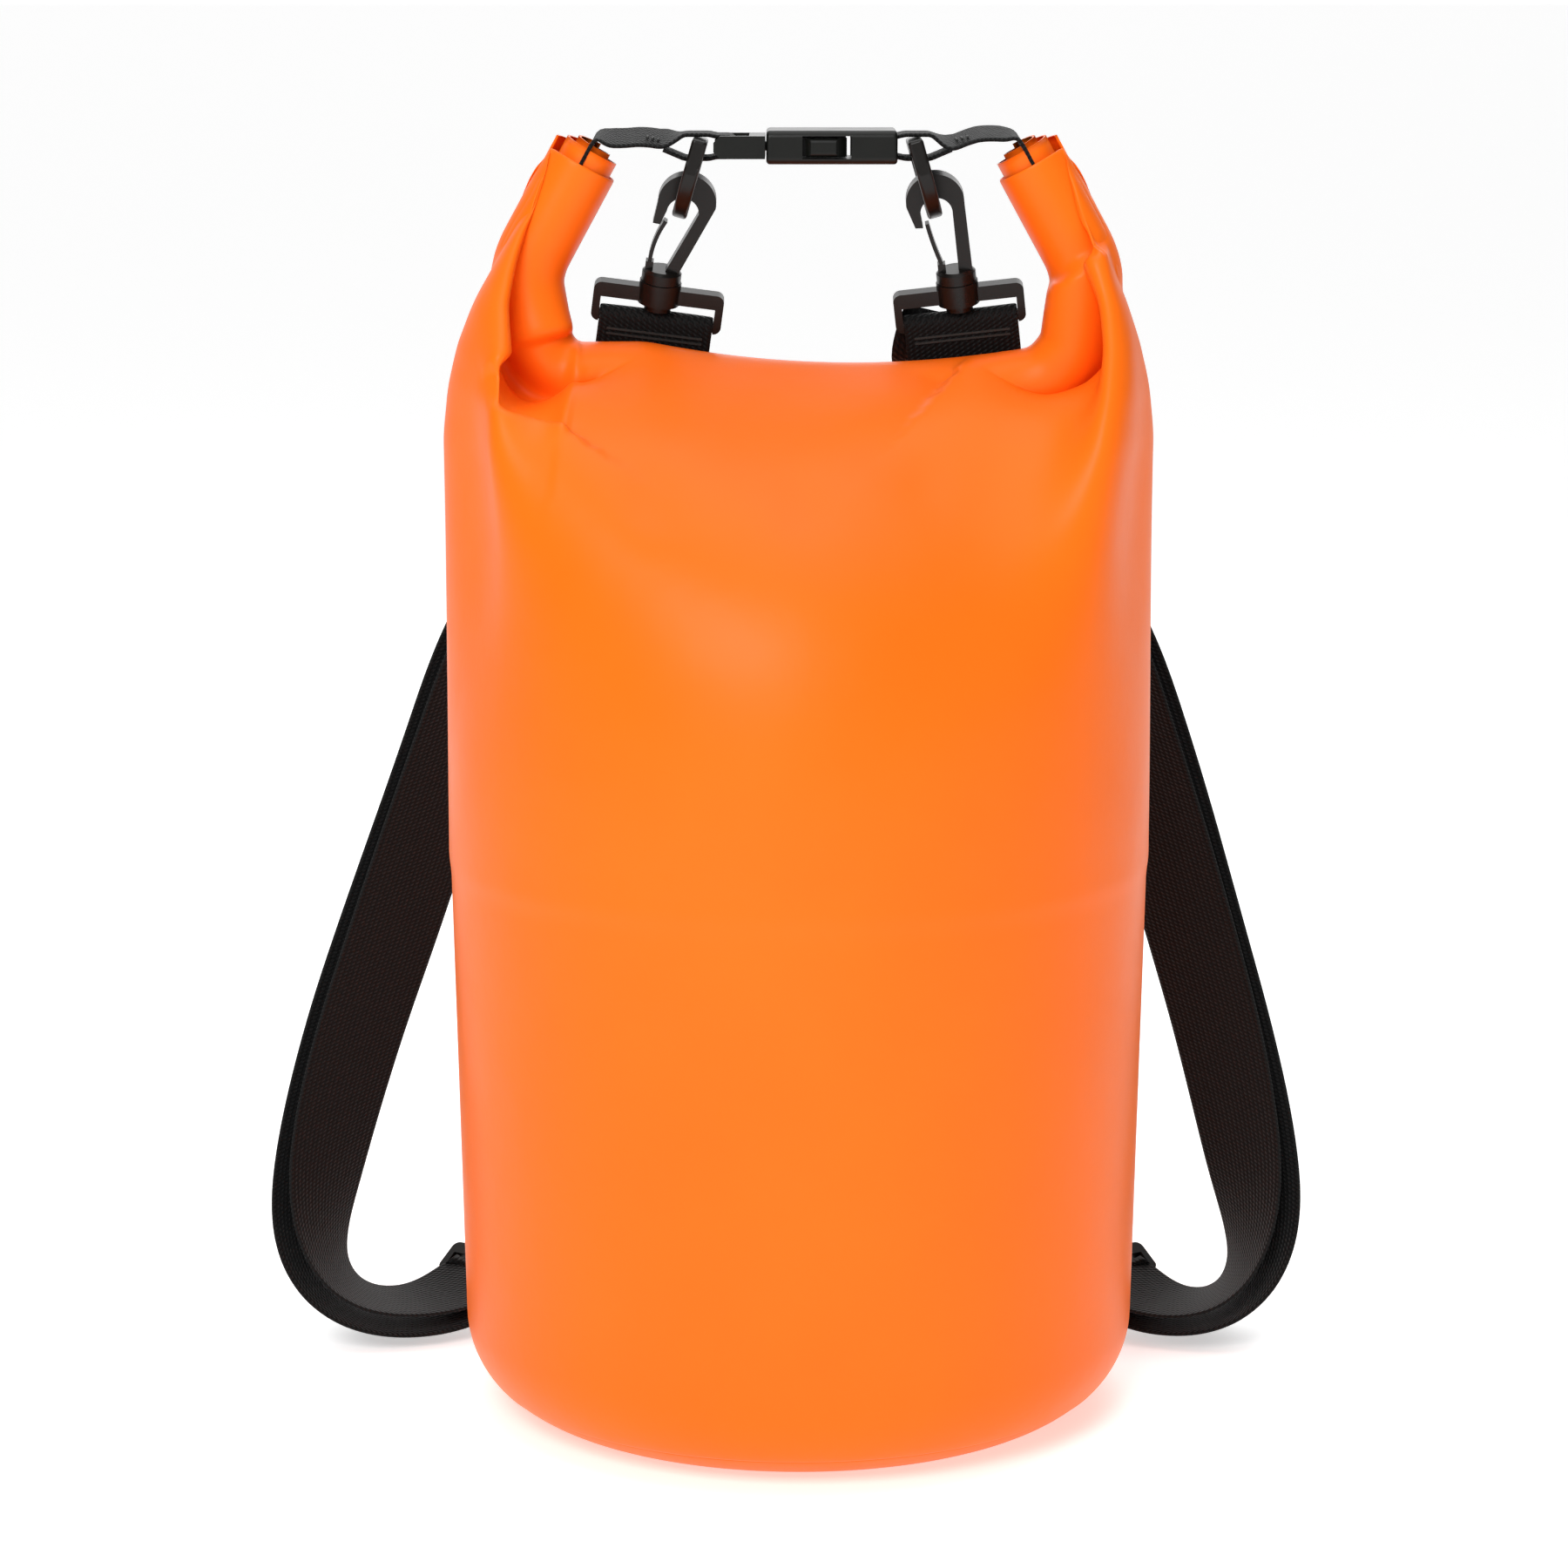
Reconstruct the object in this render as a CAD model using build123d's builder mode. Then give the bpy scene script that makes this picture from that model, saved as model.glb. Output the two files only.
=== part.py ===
"""Roll-top dry bag with two detachable shoulder straps.

Millimetres, +X to the wearer's right as the bag is seen from the front, -Y to
the front, +Z up. The origin is the centre of the flat underside of the base.
"""

from build123d import *
import os
from math import cos, degrees, radians, sin

# bag body
wall = 1.0
body_radius = 118.0
base_radius = 114.0
base_corner = 32.0
taper_top = 215.0
shoulder_z = 255.0
ridge_z = 343.0
seam_angle = 315.0
lap_end_angle = 345.0
lap_gap = 0.05

# rolled top: an oval roll along a path with two upright ears
closure_x = 2.5
roll_depth = 28.0
roll_height = 24.0
roll_clearance = 0.3
ear_tip = (70.0, 428.0)
ear_elbow = (93.0, 386.0)
ear_corner = (88.0, ridge_z)
elbow_radius = 25.0
corner_radius = 16.0
horn_top = 380.0
horn_half_depth = 16.0
horn_half_width = 106.0
core_width = 27.0
core_height = 5.0
stiffener_width = 25.0
stiffener_thickness = 1.2
stiffener_offset = 1.5

# webbing
webbing = 1.4
closure_width = 25.0
strap_width = 38.0
fit_gap = 0.2

# side-release buckle, its flat faces up and down
buckle_z = 426.5
buckle_width = 33.0
socket_start = -10.8
socket_end = 32.0
socket_thickness = 11.0
cavity_width = 27.0
cavity_height = 7.4
cavity_end = 20.0
window_start = 1.0
window_end = 17.0
rear_cavity_start = 22.5
rear_cavity_width = 26.4
rear_cavity_height = 8.6
socket_bar_x = 27.0
socket_bar_radius = 2.0
plug_start = -28.0
plug_end = -11.2
plug_rail = 3.2
plug_height = 7.4
plug_bar_x = -24.0
plug_bar_width = 4.2
plug_bar_round = 1.7
plug_bar_height = 4.4
plug_deck_start = -16.4
tongue_end = 10.0
tongue_width = 8.0
tongue_height = 3.0
latch_start = -10.4
latch_end = 15.5
latch_head_start = 2.2
latch_inner_y = 8.0
latch_arm = 3.0
latch_head_y = 16.4
latch_height = 6.0

# closure webbing: steps outwards from the D-ring's bar, and rises above the buckle's middle
closure_buried = 18.0
closure_clear = 3.0
closure_crest = (20.0, 2.6)
closure_dip = (12.0, 0.9)
closure_ring_out = 4.5
closure_ring_in = 3.5
closure_ring_rise = 3.0
closure_lead = 6.0
closure_tail = (11.5, -0.95)
closure_bends = [3.0, 8.0, 6.0, 4.0, 4.0, 4.0]
closure_return_bends = [4.0, 4.0, 4.0]
closure_plug_bend = 2.4
closure_bend_relief = 0.05
stitch_start = (13.2, 2.35)
stitch_step = (1.8, 0.42)
closure_stitch_rows = 3
stitch_width = 0.7
stitch_depth = 0.5
stitch_margin = 2.5

# D-rings
ring_stock = 5.0
lower_ring_stock = 4.2
ring_edge = 1.1
ring_inner_width = 26.4
ring_bar_to_arc = 22.0
ring_lean = 16.0
top_ring_x = {"left": -33.0, "right": 38.3}

# swivel snap hooks and their frames, all one pattern
swivel_radius = 7.0
frame_thickness = 5.0
frame_leg = 2.6
crossbar_top = -2.0
crossbar_bottom = -7.5
barrel_bottom = -7.5
frame_bar_top = -12.1
frame_bar_bottom = -15.6
frame_bar_thickness = 4.0
frame_bar_round = 1.3
stem_radius = 2.95
bore_radius = 3.0
collar_bottom = 0.2
collar_top = 4.4
collar_radius = 6.6
flange_top = -7.7
flange_bottom = -9.9
flange_radius = 4.5
hook_thickness = 5.0
gate_width = 3.8
gate_thickness = 1.3
gate_root = (-4.5, 7.2)
gate_gap = 0.3
gate_middle = (-4.9, 14.5)
gate_end = (-4.1, 21.4)
gate_end_lean = 2.8
gate_seat_width = 2.6
collar_edge = 1.0
crook_outside = [(10.4, 28.0), (0.8, 38.2), (-8.8, 28.0)]
crook_tip = [(-8.8, 28.0), (-8.2, 20.6), (-5.7, 20.4), (-5.0, 25.4)]
crook_inside = [(-5.0, 25.4), (0.4, 30.2), (5.6, 25.4)]
crook_shank = [(5.6, 25.4), (0.8, 3.4), (5.4, 3.4), (10.4, 28.0)]
crook_lean = {"left": 0.19, "right": -0.22}

# strap ends, on the left-hand side of the bag; the right is its mirror image
upper_swivel = {"left": Vector(-46.0, 9.7, 381.5), "right": Vector(52.5, 9.7, 381.5)}
lower_eye = Vector(-94.0, 105.0, 36.0)
lower_bar = Vector(-112.1, 77.7, 16.2)
lower_ring_radius = 121.0
lower_ring_angle = 127.7
strap_spread = {"left": 1.0, "right": 0.83}
layer_gap = 7.0

# patches that hold the lower tabs
patch_inner_radius = 115.0
patch_thickness = 0.9
patch_bottom = 20.0
patch_top = 62.0
patch_start_angle = 99.0
patch_end_angle = 122.0
tab_end_radius = 118.6
tab_end_angle = 116.0

# sliders
slider_length = 25.0
slider_rim = 3.2
slider_low = -3.0
slider_high = 5.6
slider_bar_radius = 1.5
slider_bar_rise = 4.1
slider_tail = 9.0

# hem stitches under the upper frames
stitch_height = 0.4
stitch_rows = (3.5, 5.3, 12.0, 13.4)

os.makedirs("parts", exist_ok=True)
SIGN = {"left": 1, "right": -1}


def save(builder, label):
    """Label a finished piece and write it."""
    builder.part.label = label
    export_step(builder.part, f"parts/{label}.step")


def mirrored(point, side):
    """A left-hand point or vector, mirrored in the YZ plane for the right-hand side."""
    return Vector(SIGN[side] * point.X, point.Y, point.Z)


# --- bag body -----------------------------------------------------------------


def base_profile(inset):
    """Half section of the bag as a body of revolution, drawn in by inset."""
    corner = (base_radius - base_corner, base_corner)
    with BuildSketch(Plane.XZ) as profile:
        with BuildLine():
            floor = Line((0, inset), (corner[0], inset))
            bend = CenterArc(corner, base_corner - inset, 270, 90)
            Polyline(
                bend @ 1,
                (body_radius - inset, taper_top),
                (body_radius - inset, ear_tip[1]),
                (0, ear_tip[1]),
                floor @ 0,
            )
        make_face()
    return profile.sketch


def front_outline(inset):
    """Outline seen from the front: upright sides, shoulders and two horns under the ears."""
    side = body_radius + wall
    shoulder = ridge_z - 2 * corner_radius
    low = -wall
    with BuildSketch(Plane.XZ.offset(body_radius + wall)) as outline:
        with BuildLine():
            Polyline(
                (-side, low),
                (-side, shoulder),
                (closure_x - horn_half_width, horn_top),
                (closure_x - ear_elbow[0], horn_top),
                (closure_x - ear_corner[0] + corner_radius, ridge_z),
                (closure_x + ear_corner[0] - corner_radius, ridge_z),
                (closure_x + ear_elbow[0], horn_top),
                (closure_x + horn_half_width, horn_top),
                (side, shoulder),
                (side, low),
                close=True,
            )
        make_face()
        if inset:
            offset(amount=-inset, kind=Kind.INTERSECTION, mode=Mode.REPLACE)
    return outline.sketch


def side_outline(inset):
    """Outline seen from the side: the front and back close in on the roll as a quarter oval."""
    half_ridge = horn_half_depth
    reach = body_radius - half_ridge
    low = -wall
    with BuildSketch(Plane.YZ.offset(-body_radius - wall)) as outline:
        with BuildLine():
            middle = (half_ridge - inset, shoulder_z)
            rise = ridge_z - shoulder_z - inset
            edge = EllipticalCenterArc(middle, reach, rise, start_angle=0, arc_size=90)
            outer = edge @ 0
            inner = edge @ 1
            Polyline(
                outer,
                (outer.X, low),
                (0, low),
                (0, horn_top + wall),
                (inner.X, horn_top + wall),
                inner,
            )
        make_face()
        mirror(about=Plane.YZ)
    return outline.sketch


def bag_form(inset):
    """The bag below its roll as a plain solid, drawn in by inset on every side."""
    reach = body_radius + wall
    with BuildPart() as form:
        add(base_profile(inset))
        revolve(axis=Axis.Z)
        extrude(front_outline(inset), amount=2 * reach, dir=(0, 1, 0), mode=Mode.INTERSECT)
        extrude(side_outline(inset), amount=2 * reach, dir=(1, 0, 0), mode=Mode.INTERSECT)
    return form.part


def corner_point(radius, angle):
    """A point on a circle about the centre of the base's rounded corner."""
    middle = (base_radius - base_corner, base_corner)
    turn = radians(angle)
    return (middle[0] + radius * cos(turn), middle[1] + radius * sin(turn))


def make_body_wall():
    """The tarpaulin tube, from the base seam to the roll."""
    seam = corner_point(base_corner + wall, seam_angle + degrees(lap_gap / base_corner))
    path = roll_path()
    outer = bag_form(0)
    inner = bag_form(wall)
    with BuildPart() as body_wall:
        add(outer)
        add(inner, mode=Mode.SUBTRACT)
        with BuildSketch(Plane.XZ):
            with BuildLine():
                Polyline(
                    (0, -wall),
                    (seam[0], -wall),
                    seam,
                    (base_radius - base_corner, base_corner),
                    (0, base_corner),
                    close=True,
                )
            make_face()
        revolve(axis=Axis.Z, mode=Mode.SUBTRACT)
        with BuildSketch(roll_section(path)):
            Ellipse(roll_depth / 2 + roll_clearance, roll_height / 2 + roll_clearance)
        sweep(path=path, mode=Mode.SUBTRACT)
    save(body_wall, "body_wall")


def make_base_panel():
    """The base disc, its rounded rim and the lap that is welded inside the wall."""
    middle = (base_radius - base_corner, base_corner)
    outer = base_corner
    inner = base_corner - wall - lap_gap
    innermost = inner - wall
    with BuildPart() as base_panel:
        with BuildSketch(Plane.XZ):
            with BuildLine():
                Polyline(
                    corner_point(outer, 270),
                    (0, 0),
                    (0, base_corner - innermost),
                    corner_point(innermost, 270),
                )
                CenterArc(middle, innermost, 270, lap_end_angle - 270)
                Line(corner_point(innermost, lap_end_angle), corner_point(inner, lap_end_angle))
                CenterArc(middle, inner, seam_angle, lap_end_angle - seam_angle)
                Line(corner_point(inner, seam_angle), corner_point(outer, seam_angle))
                CenterArc(middle, outer, 270, seam_angle - 270)
            make_face()
        revolve(axis=Axis.Z)
    save(base_panel, "base_panel")


# --- rolled top -----------------------------------------------------------------


def roll_path():
    """Centre line of the roll: up one ear, along the ridge and up the other ear."""
    half = [ear_tip, ear_elbow, ear_corner]
    points = [(closure_x - x, z) for x, z in half]
    points += [(closure_x + x, z) for x, z in reversed(half)]
    with BuildLine(Plane.XZ) as path:
        FilletPolyline(*points, radius=[elbow_radius, corner_radius, corner_radius, elbow_radius])
    return path.wire()


def roll_section(path):
    """Plane across the start of the roll, its x along the bag's depth."""
    return Plane(origin=path @ 0, x_dir=(0, 1, 0), z_dir=path % 0)


def make_rolled_top():
    """The rolled mouth of the tube, hollow where the stiffened hem lies in its core."""
    path = roll_path()
    with BuildPart() as rolled_top:
        with BuildSketch(roll_section(path)):
            Ellipse(roll_depth / 2, roll_height / 2)
            Rectangle(core_width, core_height, mode=Mode.SUBTRACT)
        sweep(path=path)
    save(rolled_top, "rolled_top")


def make_stiffener(label, side):
    """One of the two stiff strips in the hem that the top is rolled around."""
    path = roll_path()
    with BuildPart() as stiffener:
        with BuildSketch(roll_section(path)):
            with Locations((0, side * stiffener_offset)):
                Rectangle(stiffener_width, stiffener_thickness)
        sweep(path=path)
    save(stiffener, label)


# --- closure webbing and buckle ----------------------------------------------------


def make_closure_webbing(side):
    """25 mm webbing from the core of an ear to a closed loop round the buckle's bar."""
    way = 1 if side == "left" else -1
    tip = Vector(closure_x - way * ear_tip[0], 0, ear_tip[1])
    elbow = Vector(closure_x - way * ear_elbow[0], 0, ear_elbow[1])
    along = (tip - elbow).normalized()
    buried = tip - along * closure_buried
    clear = tip + along * closure_clear
    ring = Vector(top_ring_x[side], 0, buckle_z)
    rise = closure_ring_rise + fit_gap + webbing / 2
    if side == "left":
        turn_x = plug_bar_x + plug_bar_width / 2 + fit_gap + webbing / 2
        turn_rise = plug_bar_height / 2 + 2 * fit_gap + webbing / 2
        turn_radius = closure_plug_bend
    else:
        turn_x = socket_bar_x - socket_bar_radius - fit_gap - webbing / 2
        turn_rise = socket_bar_radius + fit_gap + webbing / 2
        turn_radius = turn_rise - closure_bend_relief
    top = buckle_z + rise
    points = [
        (buried.X, buried.Z),
        (clear.X, clear.Z),
        (ring.X - way * closure_crest[0], buckle_z + closure_crest[1]),
        (ring.X - way * closure_dip[0], buckle_z + closure_dip[1]),
        (ring.X - way * closure_ring_out, top),
        (ring.X + way * closure_ring_in, top),
        (turn_x - way * closure_lead, buckle_z + turn_rise),
        (turn_x, buckle_z + turn_rise),
        (turn_x, buckle_z - turn_rise),
        (turn_x - way * closure_lead, buckle_z - turn_rise),
        (ring.X + way * closure_ring_in, buckle_z - rise),
        (ring.X - way * closure_ring_out, buckle_z - rise),
        (ring.X - way * closure_tail[0], buckle_z + closure_tail[1]),
    ]
    radii = closure_bends + 2 * [turn_radius] + closure_return_bends
    with BuildPart() as closure:
        with BuildSketch(Plane.XZ):
            with BuildLine() as route:
                FilletPolyline(*points, radius=radii)
            trace(line_width=webbing)
        extrude(amount=closure_width / 2, both=True)
    save(closure, f"closure_webbing_{side}")


def make_closure_stitching(side):
    """Three rows of stitches across the webbing where its loop is closed."""
    way = 1 if side == "left" else -1
    start = Vector(top_ring_x[side] - way * stitch_start[0], 0, buckle_z + stitch_start[1])
    with BuildPart() as stitching:
        for row in range(closure_stitch_rows):
            with Locations((start.X - way * stitch_step[0] * row, 0, start.Z + stitch_step[1] * row)):
                Box(stitch_width, closure_width - 2 * stitch_margin, stitch_depth)
    save(stitching, f"closure_stitching_{side}")


def make_buckle_socket():
    """The open half: a flat box with a mouth, two side windows and a webbing bar."""
    length = socket_end - socket_start
    middle = (socket_start + socket_end) / 2
    rear_length = socket_end - rear_cavity_start
    with BuildPart(Plane.XY.offset(buckle_z)) as socket:
        with Locations((middle, 0)):
            Box(length, buckle_width, socket_thickness)
        fillet(socket.edges().filter_by(Axis.X), radius=2.4)
        fillet(socket.edges().filter_by(Axis.Z), radius=1.2)
        with Locations(((socket_start + cavity_end) / 2, 0)):
            Box(cavity_end - socket_start, cavity_width, cavity_height, mode=Mode.SUBTRACT)
        with Locations(((window_start + window_end) / 2, 0)):
            Box(window_end - window_start, buckle_width, cavity_height, mode=Mode.SUBTRACT)
        with Locations((rear_cavity_start + rear_length / 2, 0)):
            Box(rear_length, rear_cavity_width, rear_cavity_height, mode=Mode.SUBTRACT)
        with Locations(Location((socket_bar_x, 0, 0), (90, 0, 0))):
            Cylinder(socket_bar_radius, rear_cavity_width + wall)
    save(socket, "buckle_socket")


def make_buckle_plug():
    """The entering half: two rails, a webbing bar, a deck and the guide tongue."""
    rail_y = buckle_width / 2 - plug_rail / 2
    length = plug_end - plug_start
    middle = (plug_start + plug_end) / 2
    deck_length = plug_end - plug_deck_start
    with BuildPart(Plane.XY.offset(buckle_z)) as plug:
        with Locations((middle, rail_y), (middle, -rail_y)):
            Box(length, plug_rail, plug_height)
        ends = plug.edges().filter_by(Axis.Y).group_by(Axis.X)[0]
        chamfer(ends, length=2.2)
        with BuildSketch(Plane.XZ):
            with Locations((plug_bar_x, buckle_z)):
                RectangleRounded(plug_bar_width, plug_bar_height, plug_bar_round)
        extrude(amount=rail_y, both=True)
        with Locations((plug_deck_start + deck_length / 2, 0)):
            Box(deck_length, buckle_width - plug_rail, plug_height)
        with Locations(((plug_end + tongue_end) / 2, 0)):
            Box(tongue_end - plug_end, tongue_width, tongue_height)
        fillet(plug.edges().filter_by(Axis.X).group_by(SortBy.LENGTH)[-1], radius=0.9)
    save(plug, "buckle_plug")


def make_buckle_latch(label, way):
    """A sprung arm whose head fills the socket's side window; way is -1 at the front."""
    with BuildPart(Plane.XY.offset(buckle_z)) as latch:
        with BuildSketch(Plane.XY.offset(buckle_z)):
            with BuildLine():
                Polyline(
                    (latch_start, way * latch_inner_y),
                    (latch_end, way * latch_inner_y),
                    (latch_end, way * (latch_head_y - 3.4)),
                    (latch_end - 3.6, way * latch_head_y),
                    (latch_head_start + 1.6, way * latch_head_y),
                    (latch_head_start, way * (latch_head_y - 1.4)),
                    (latch_head_start, way * (latch_inner_y + latch_arm)),
                    (latch_start, way * (latch_inner_y + latch_arm)),
                    close=True,
                )
            make_face()
        extrude(amount=latch_height / 2, both=True)
        outer = latch.faces().sort_by(Axis.Y)[0 if way < 0 else -1]
        fillet(outer.edges().filter_by(Axis.X), radius=1.5)
    save(latch, label)


# --- D-rings ---------------------------------------------------------------------


def d_ring(plane, stock):
    """A moulded D-ring: its straight bar along the plane's x, its arc hanging along -y."""
    half_bar = stock / 2
    inner = ring_inner_width / 2
    outer = inner + stock
    drop = ring_bar_to_arc + half_bar
    with BuildPart() as ring:
        with BuildSketch(plane):
            with BuildLine():
                Polyline((outer, -outer / 2), (outer, half_bar), (-outer, half_bar), (-outer, -outer / 2))
                ThreePointArc((-outer, -outer / 2), (0, -drop), (outer, -outer / 2))
            make_face()
            with BuildLine():
                Polyline((inner, -outer / 2), (inner, -half_bar), (-inner, -half_bar), (-inner, -outer / 2))
                ThreePointArc((-inner, -outer / 2), (0, stock - drop), (inner, -outer / 2))
            make_face(mode=Mode.SUBTRACT)
        extrude(amount=half_bar, both=True)
        fillet(ring.edges(), radius=ring_edge)
    return ring


def make_top_d_ring(side):
    """D-ring in the closure webbing's loop, leaning outwards as it hangs."""
    way = -1 if side == "left" else 1
    lean = radians(ring_lean)
    down = Vector(way * sin(lean), 0, -cos(lean))
    bar = Vector(0, 1, 0)
    plane = Plane(origin=(top_ring_x[side], 0, buckle_z), x_dir=bar, z_dir=bar.cross(-down))
    ring = d_ring(plane, ring_stock)
    save(ring, f"top_d_ring_{side}")


def lower_ring_centre(side):
    """Centre of the lower D-ring's upright bar."""
    turn = radians(lower_ring_angle)
    point = Vector(lower_ring_radius * cos(turn), lower_ring_radius * sin(turn), lower_eye.Z)
    return mirrored(point, side)


def make_lower_d_ring(side):
    """D-ring that stands out from its tab on an upright bar, towards the lower hook."""
    centre = lower_ring_centre(side)
    out = (mirrored(lower_eye, side) - centre).normalized()
    bar = Vector(0, 0, 1)
    ring = d_ring(Plane(origin=centre, x_dir=bar, z_dir=bar.cross(-out)), lower_ring_stock)
    save(ring, f"lower_d_ring_{side}")


# --- lower patches and tabs -----------------------------------------------------------


def make_lower_patch(side):
    """Reinforcing patch on the back of the wall."""
    size = patch_end_angle - patch_start_angle
    start = patch_start_angle if side == "left" else 180 - patch_end_angle
    with BuildPart() as patch:
        with BuildSketch(Plane.XY.offset(patch_bottom)):
            with BuildLine():
                inner = CenterArc((0, 0), patch_inner_radius, start, size)
                outer = CenterArc((0, 0), patch_inner_radius + patch_thickness, start, size)
                Line(inner @ 0, outer @ 0)
                Line(inner @ 1, outer @ 1)
            make_face()
        extrude(amount=patch_top - patch_bottom)
    save(patch, f"lower_patch_{side}")


def make_lower_tab(side):
    """Webbing folded round the lower D-ring's bar, its two layers closing on the patch."""
    centre = lower_ring_centre(side)
    turn = radians(tab_end_angle)
    end = mirrored(Vector(tab_end_radius * cos(turn), tab_end_radius * sin(turn), centre.Z), side)
    away = (centre - end).normalized()
    across = Vector(-away.Y, away.X, 0)
    rise = ring_stock / 2 + 5 * fit_gap + webbing / 2
    near_end = webbing * 0.6

    def at(base, forward, sideways):
        point = base + away * forward + across * sideways
        return (point.X, point.Y)

    points = [
        at(end, 0, near_end),
        at(centre, -2 * rise, rise),
        at(centre, rise, rise),
        at(centre, rise, -rise),
        at(centre, -2 * rise, -rise),
        at(end, 0, -near_end),
    ]
    with BuildPart() as tab:
        with BuildSketch(Plane.XY.offset(centre.Z)):
            with BuildLine():
                FilletPolyline(*points, radius=[rise, rise * 0.9, rise * 0.9, rise])
            trace(line_width=webbing)
        extrude(amount=closure_width / 2, both=True)
    save(tab, f"lower_tab_{side}")


# --- swivel hooks and frames -----------------------------------------------------------


def upper_plane(side):
    """Plane of an upper hook: origin at its swivel, y up the swing axis, z to the front."""
    origin = upper_swivel[side]
    up = (origin - mirrored(lower_eye, side)).normalized()
    return level_plane(origin, up, Vector(1, 0, 0))


def level_plane(origin, up, across):
    """Plane at origin with y along up and x as near to across as it can be."""
    level = (across - up * across.dot(up)).normalized()
    return Plane(origin=origin, x_dir=level, z_dir=level.cross(up))


def lower_axis(side):
    """Direction from the lower frame's bar to the eye of the lower hook."""
    return (mirrored(lower_eye, side) - mirrored(lower_bar, side)).normalized()


def lower_origin(side):
    """Swivel point of a lower hook: the bar's middle lies below it on its axis."""
    bar_middle = (frame_bar_top + frame_bar_bottom) / 2
    return mirrored(lower_bar, side) - lower_axis(side) * bar_middle


def lower_frame_plane(side):
    """Plane of a lower frame: its bar is level."""
    up = lower_axis(side)
    across = up.cross(Vector(0, 0, 1)) * SIGN[side]
    return level_plane(lower_origin(side), up, across)


def lower_hook_plane(side):
    """Plane of a lower hook: level, so that its eye goes round the ring's upright arc."""
    up = lower_axis(side)
    level = up.cross(Vector(0, 0, 1)) * -SIGN[side]
    face = level.cross(up)
    return Plane(origin=lower_origin(side), x_dir=level, z_dir=face)


def hook_frame(plane):
    """Slotted frame with a barrel for the hook's stem and a bar for the webbing."""
    half_slot = strap_width / 2 + fit_gap
    half_width = half_slot + frame_leg
    axis = Axis(plane.origin, plane.y_dir)
    bar_middle = (frame_bar_top + frame_bar_bottom) / 2
    with BuildPart() as frame:
        with BuildSketch(plane):
            with Locations((0, (crossbar_top + frame_bar_bottom) / 2)):
                RectangleRounded(2 * half_width, crossbar_top - frame_bar_bottom, frame_leg)
            with Locations((0, (crossbar_bottom + frame_bar_bottom) / 2)):
                Rectangle(2 * half_slot, crossbar_bottom - frame_bar_bottom + wall, mode=Mode.SUBTRACT)
        extrude(amount=frame_thickness / 2, both=True)
        bar = Plane(origin=plane.from_local_coords((0, bar_middle, 0)), x_dir=plane.y_dir, z_dir=plane.x_dir)
        with BuildSketch(bar):
            RectangleRounded(frame_bar_top - frame_bar_bottom, frame_bar_thickness, frame_bar_round)
        extrude(amount=half_slot + frame_leg / 2, both=True)
        with BuildSketch(plane):
            with Locations((swivel_radius / 2, barrel_bottom / 2)):
                Rectangle(swivel_radius, -barrel_bottom)
        revolve(axis=axis)
        with BuildSketch(plane):
            with Locations((bore_radius / 2, barrel_bottom / 2)):
                Rectangle(bore_radius, 2 * wall - barrel_bottom)
        revolve(axis=axis, mode=Mode.SUBTRACT)
    return frame


def hook_body(plane, lean):
    """Stem, collar and lower flange, with the crook that rises from the collar."""
    axis = Axis(plane.origin, plane.y_dir)

    def at(x, y):
        return (x + (y - collar_top) * lean, y)

    with BuildPart() as hook:
        with BuildSketch(plane):
            with BuildLine():
                ThreePointArc(*[at(*point) for point in crook_outside])
                Polyline(*[at(*point) for point in crook_tip])
                ThreePointArc(*[at(*point) for point in crook_inside])
                Polyline(*[at(*point) for point in crook_shank])
            make_face()
        extrude(amount=hook_thickness / 2, both=True)
        with BuildSketch(plane):
            with BuildLine():
                Polyline(
                    (0, flange_bottom),
                    (flange_radius, flange_bottom),
                    (flange_radius, flange_top),
                    (stem_radius, flange_top),
                    (stem_radius, collar_bottom),
                    (collar_radius, collar_bottom),
                    (collar_radius, collar_top - collar_edge),
                    (collar_radius - collar_edge, collar_top),
                    (0, collar_top),
                    close=True,
                )
            make_face()
        revolve(axis=axis)
        with BuildSketch(plane):
            with Locations((gate_root[0], collar_top)):
                Rectangle(gate_seat_width, 2 * (gate_root[1] - collar_top - gate_gap))
        extrude(amount=gate_width / 2, both=True)
    return hook


def hook_gate(plane, lean):
    """The thin sprung tongue that closes the hook, from the collar to inside its tip."""

    def at(x, y):
        return (x + (y - gate_root[1]) * lean, y)

    with BuildPart() as gate:
        with BuildSketch(plane):
            with BuildLine():
                ThreePointArc(gate_root, at(*gate_middle), at(gate_end[0] + gate_end_lean * lean, gate_end[1]))
            trace(line_width=gate_thickness)
        extrude(amount=gate_width / 2, both=True)
    return gate


def make_hook_set(level, side, frame_plane, hook_plane, lean):
    """Frame, hook and gate of one strap end."""
    save(hook_frame(frame_plane), f"{level}_hook_frame_{side}")
    save(hook_body(hook_plane, lean), f"{level}_hook_{side}")
    save(hook_gate(hook_plane, lean), f"{level}_hook_gate_{side}")


# --- shoulder straps ---------------------------------------------------------------------

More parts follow.
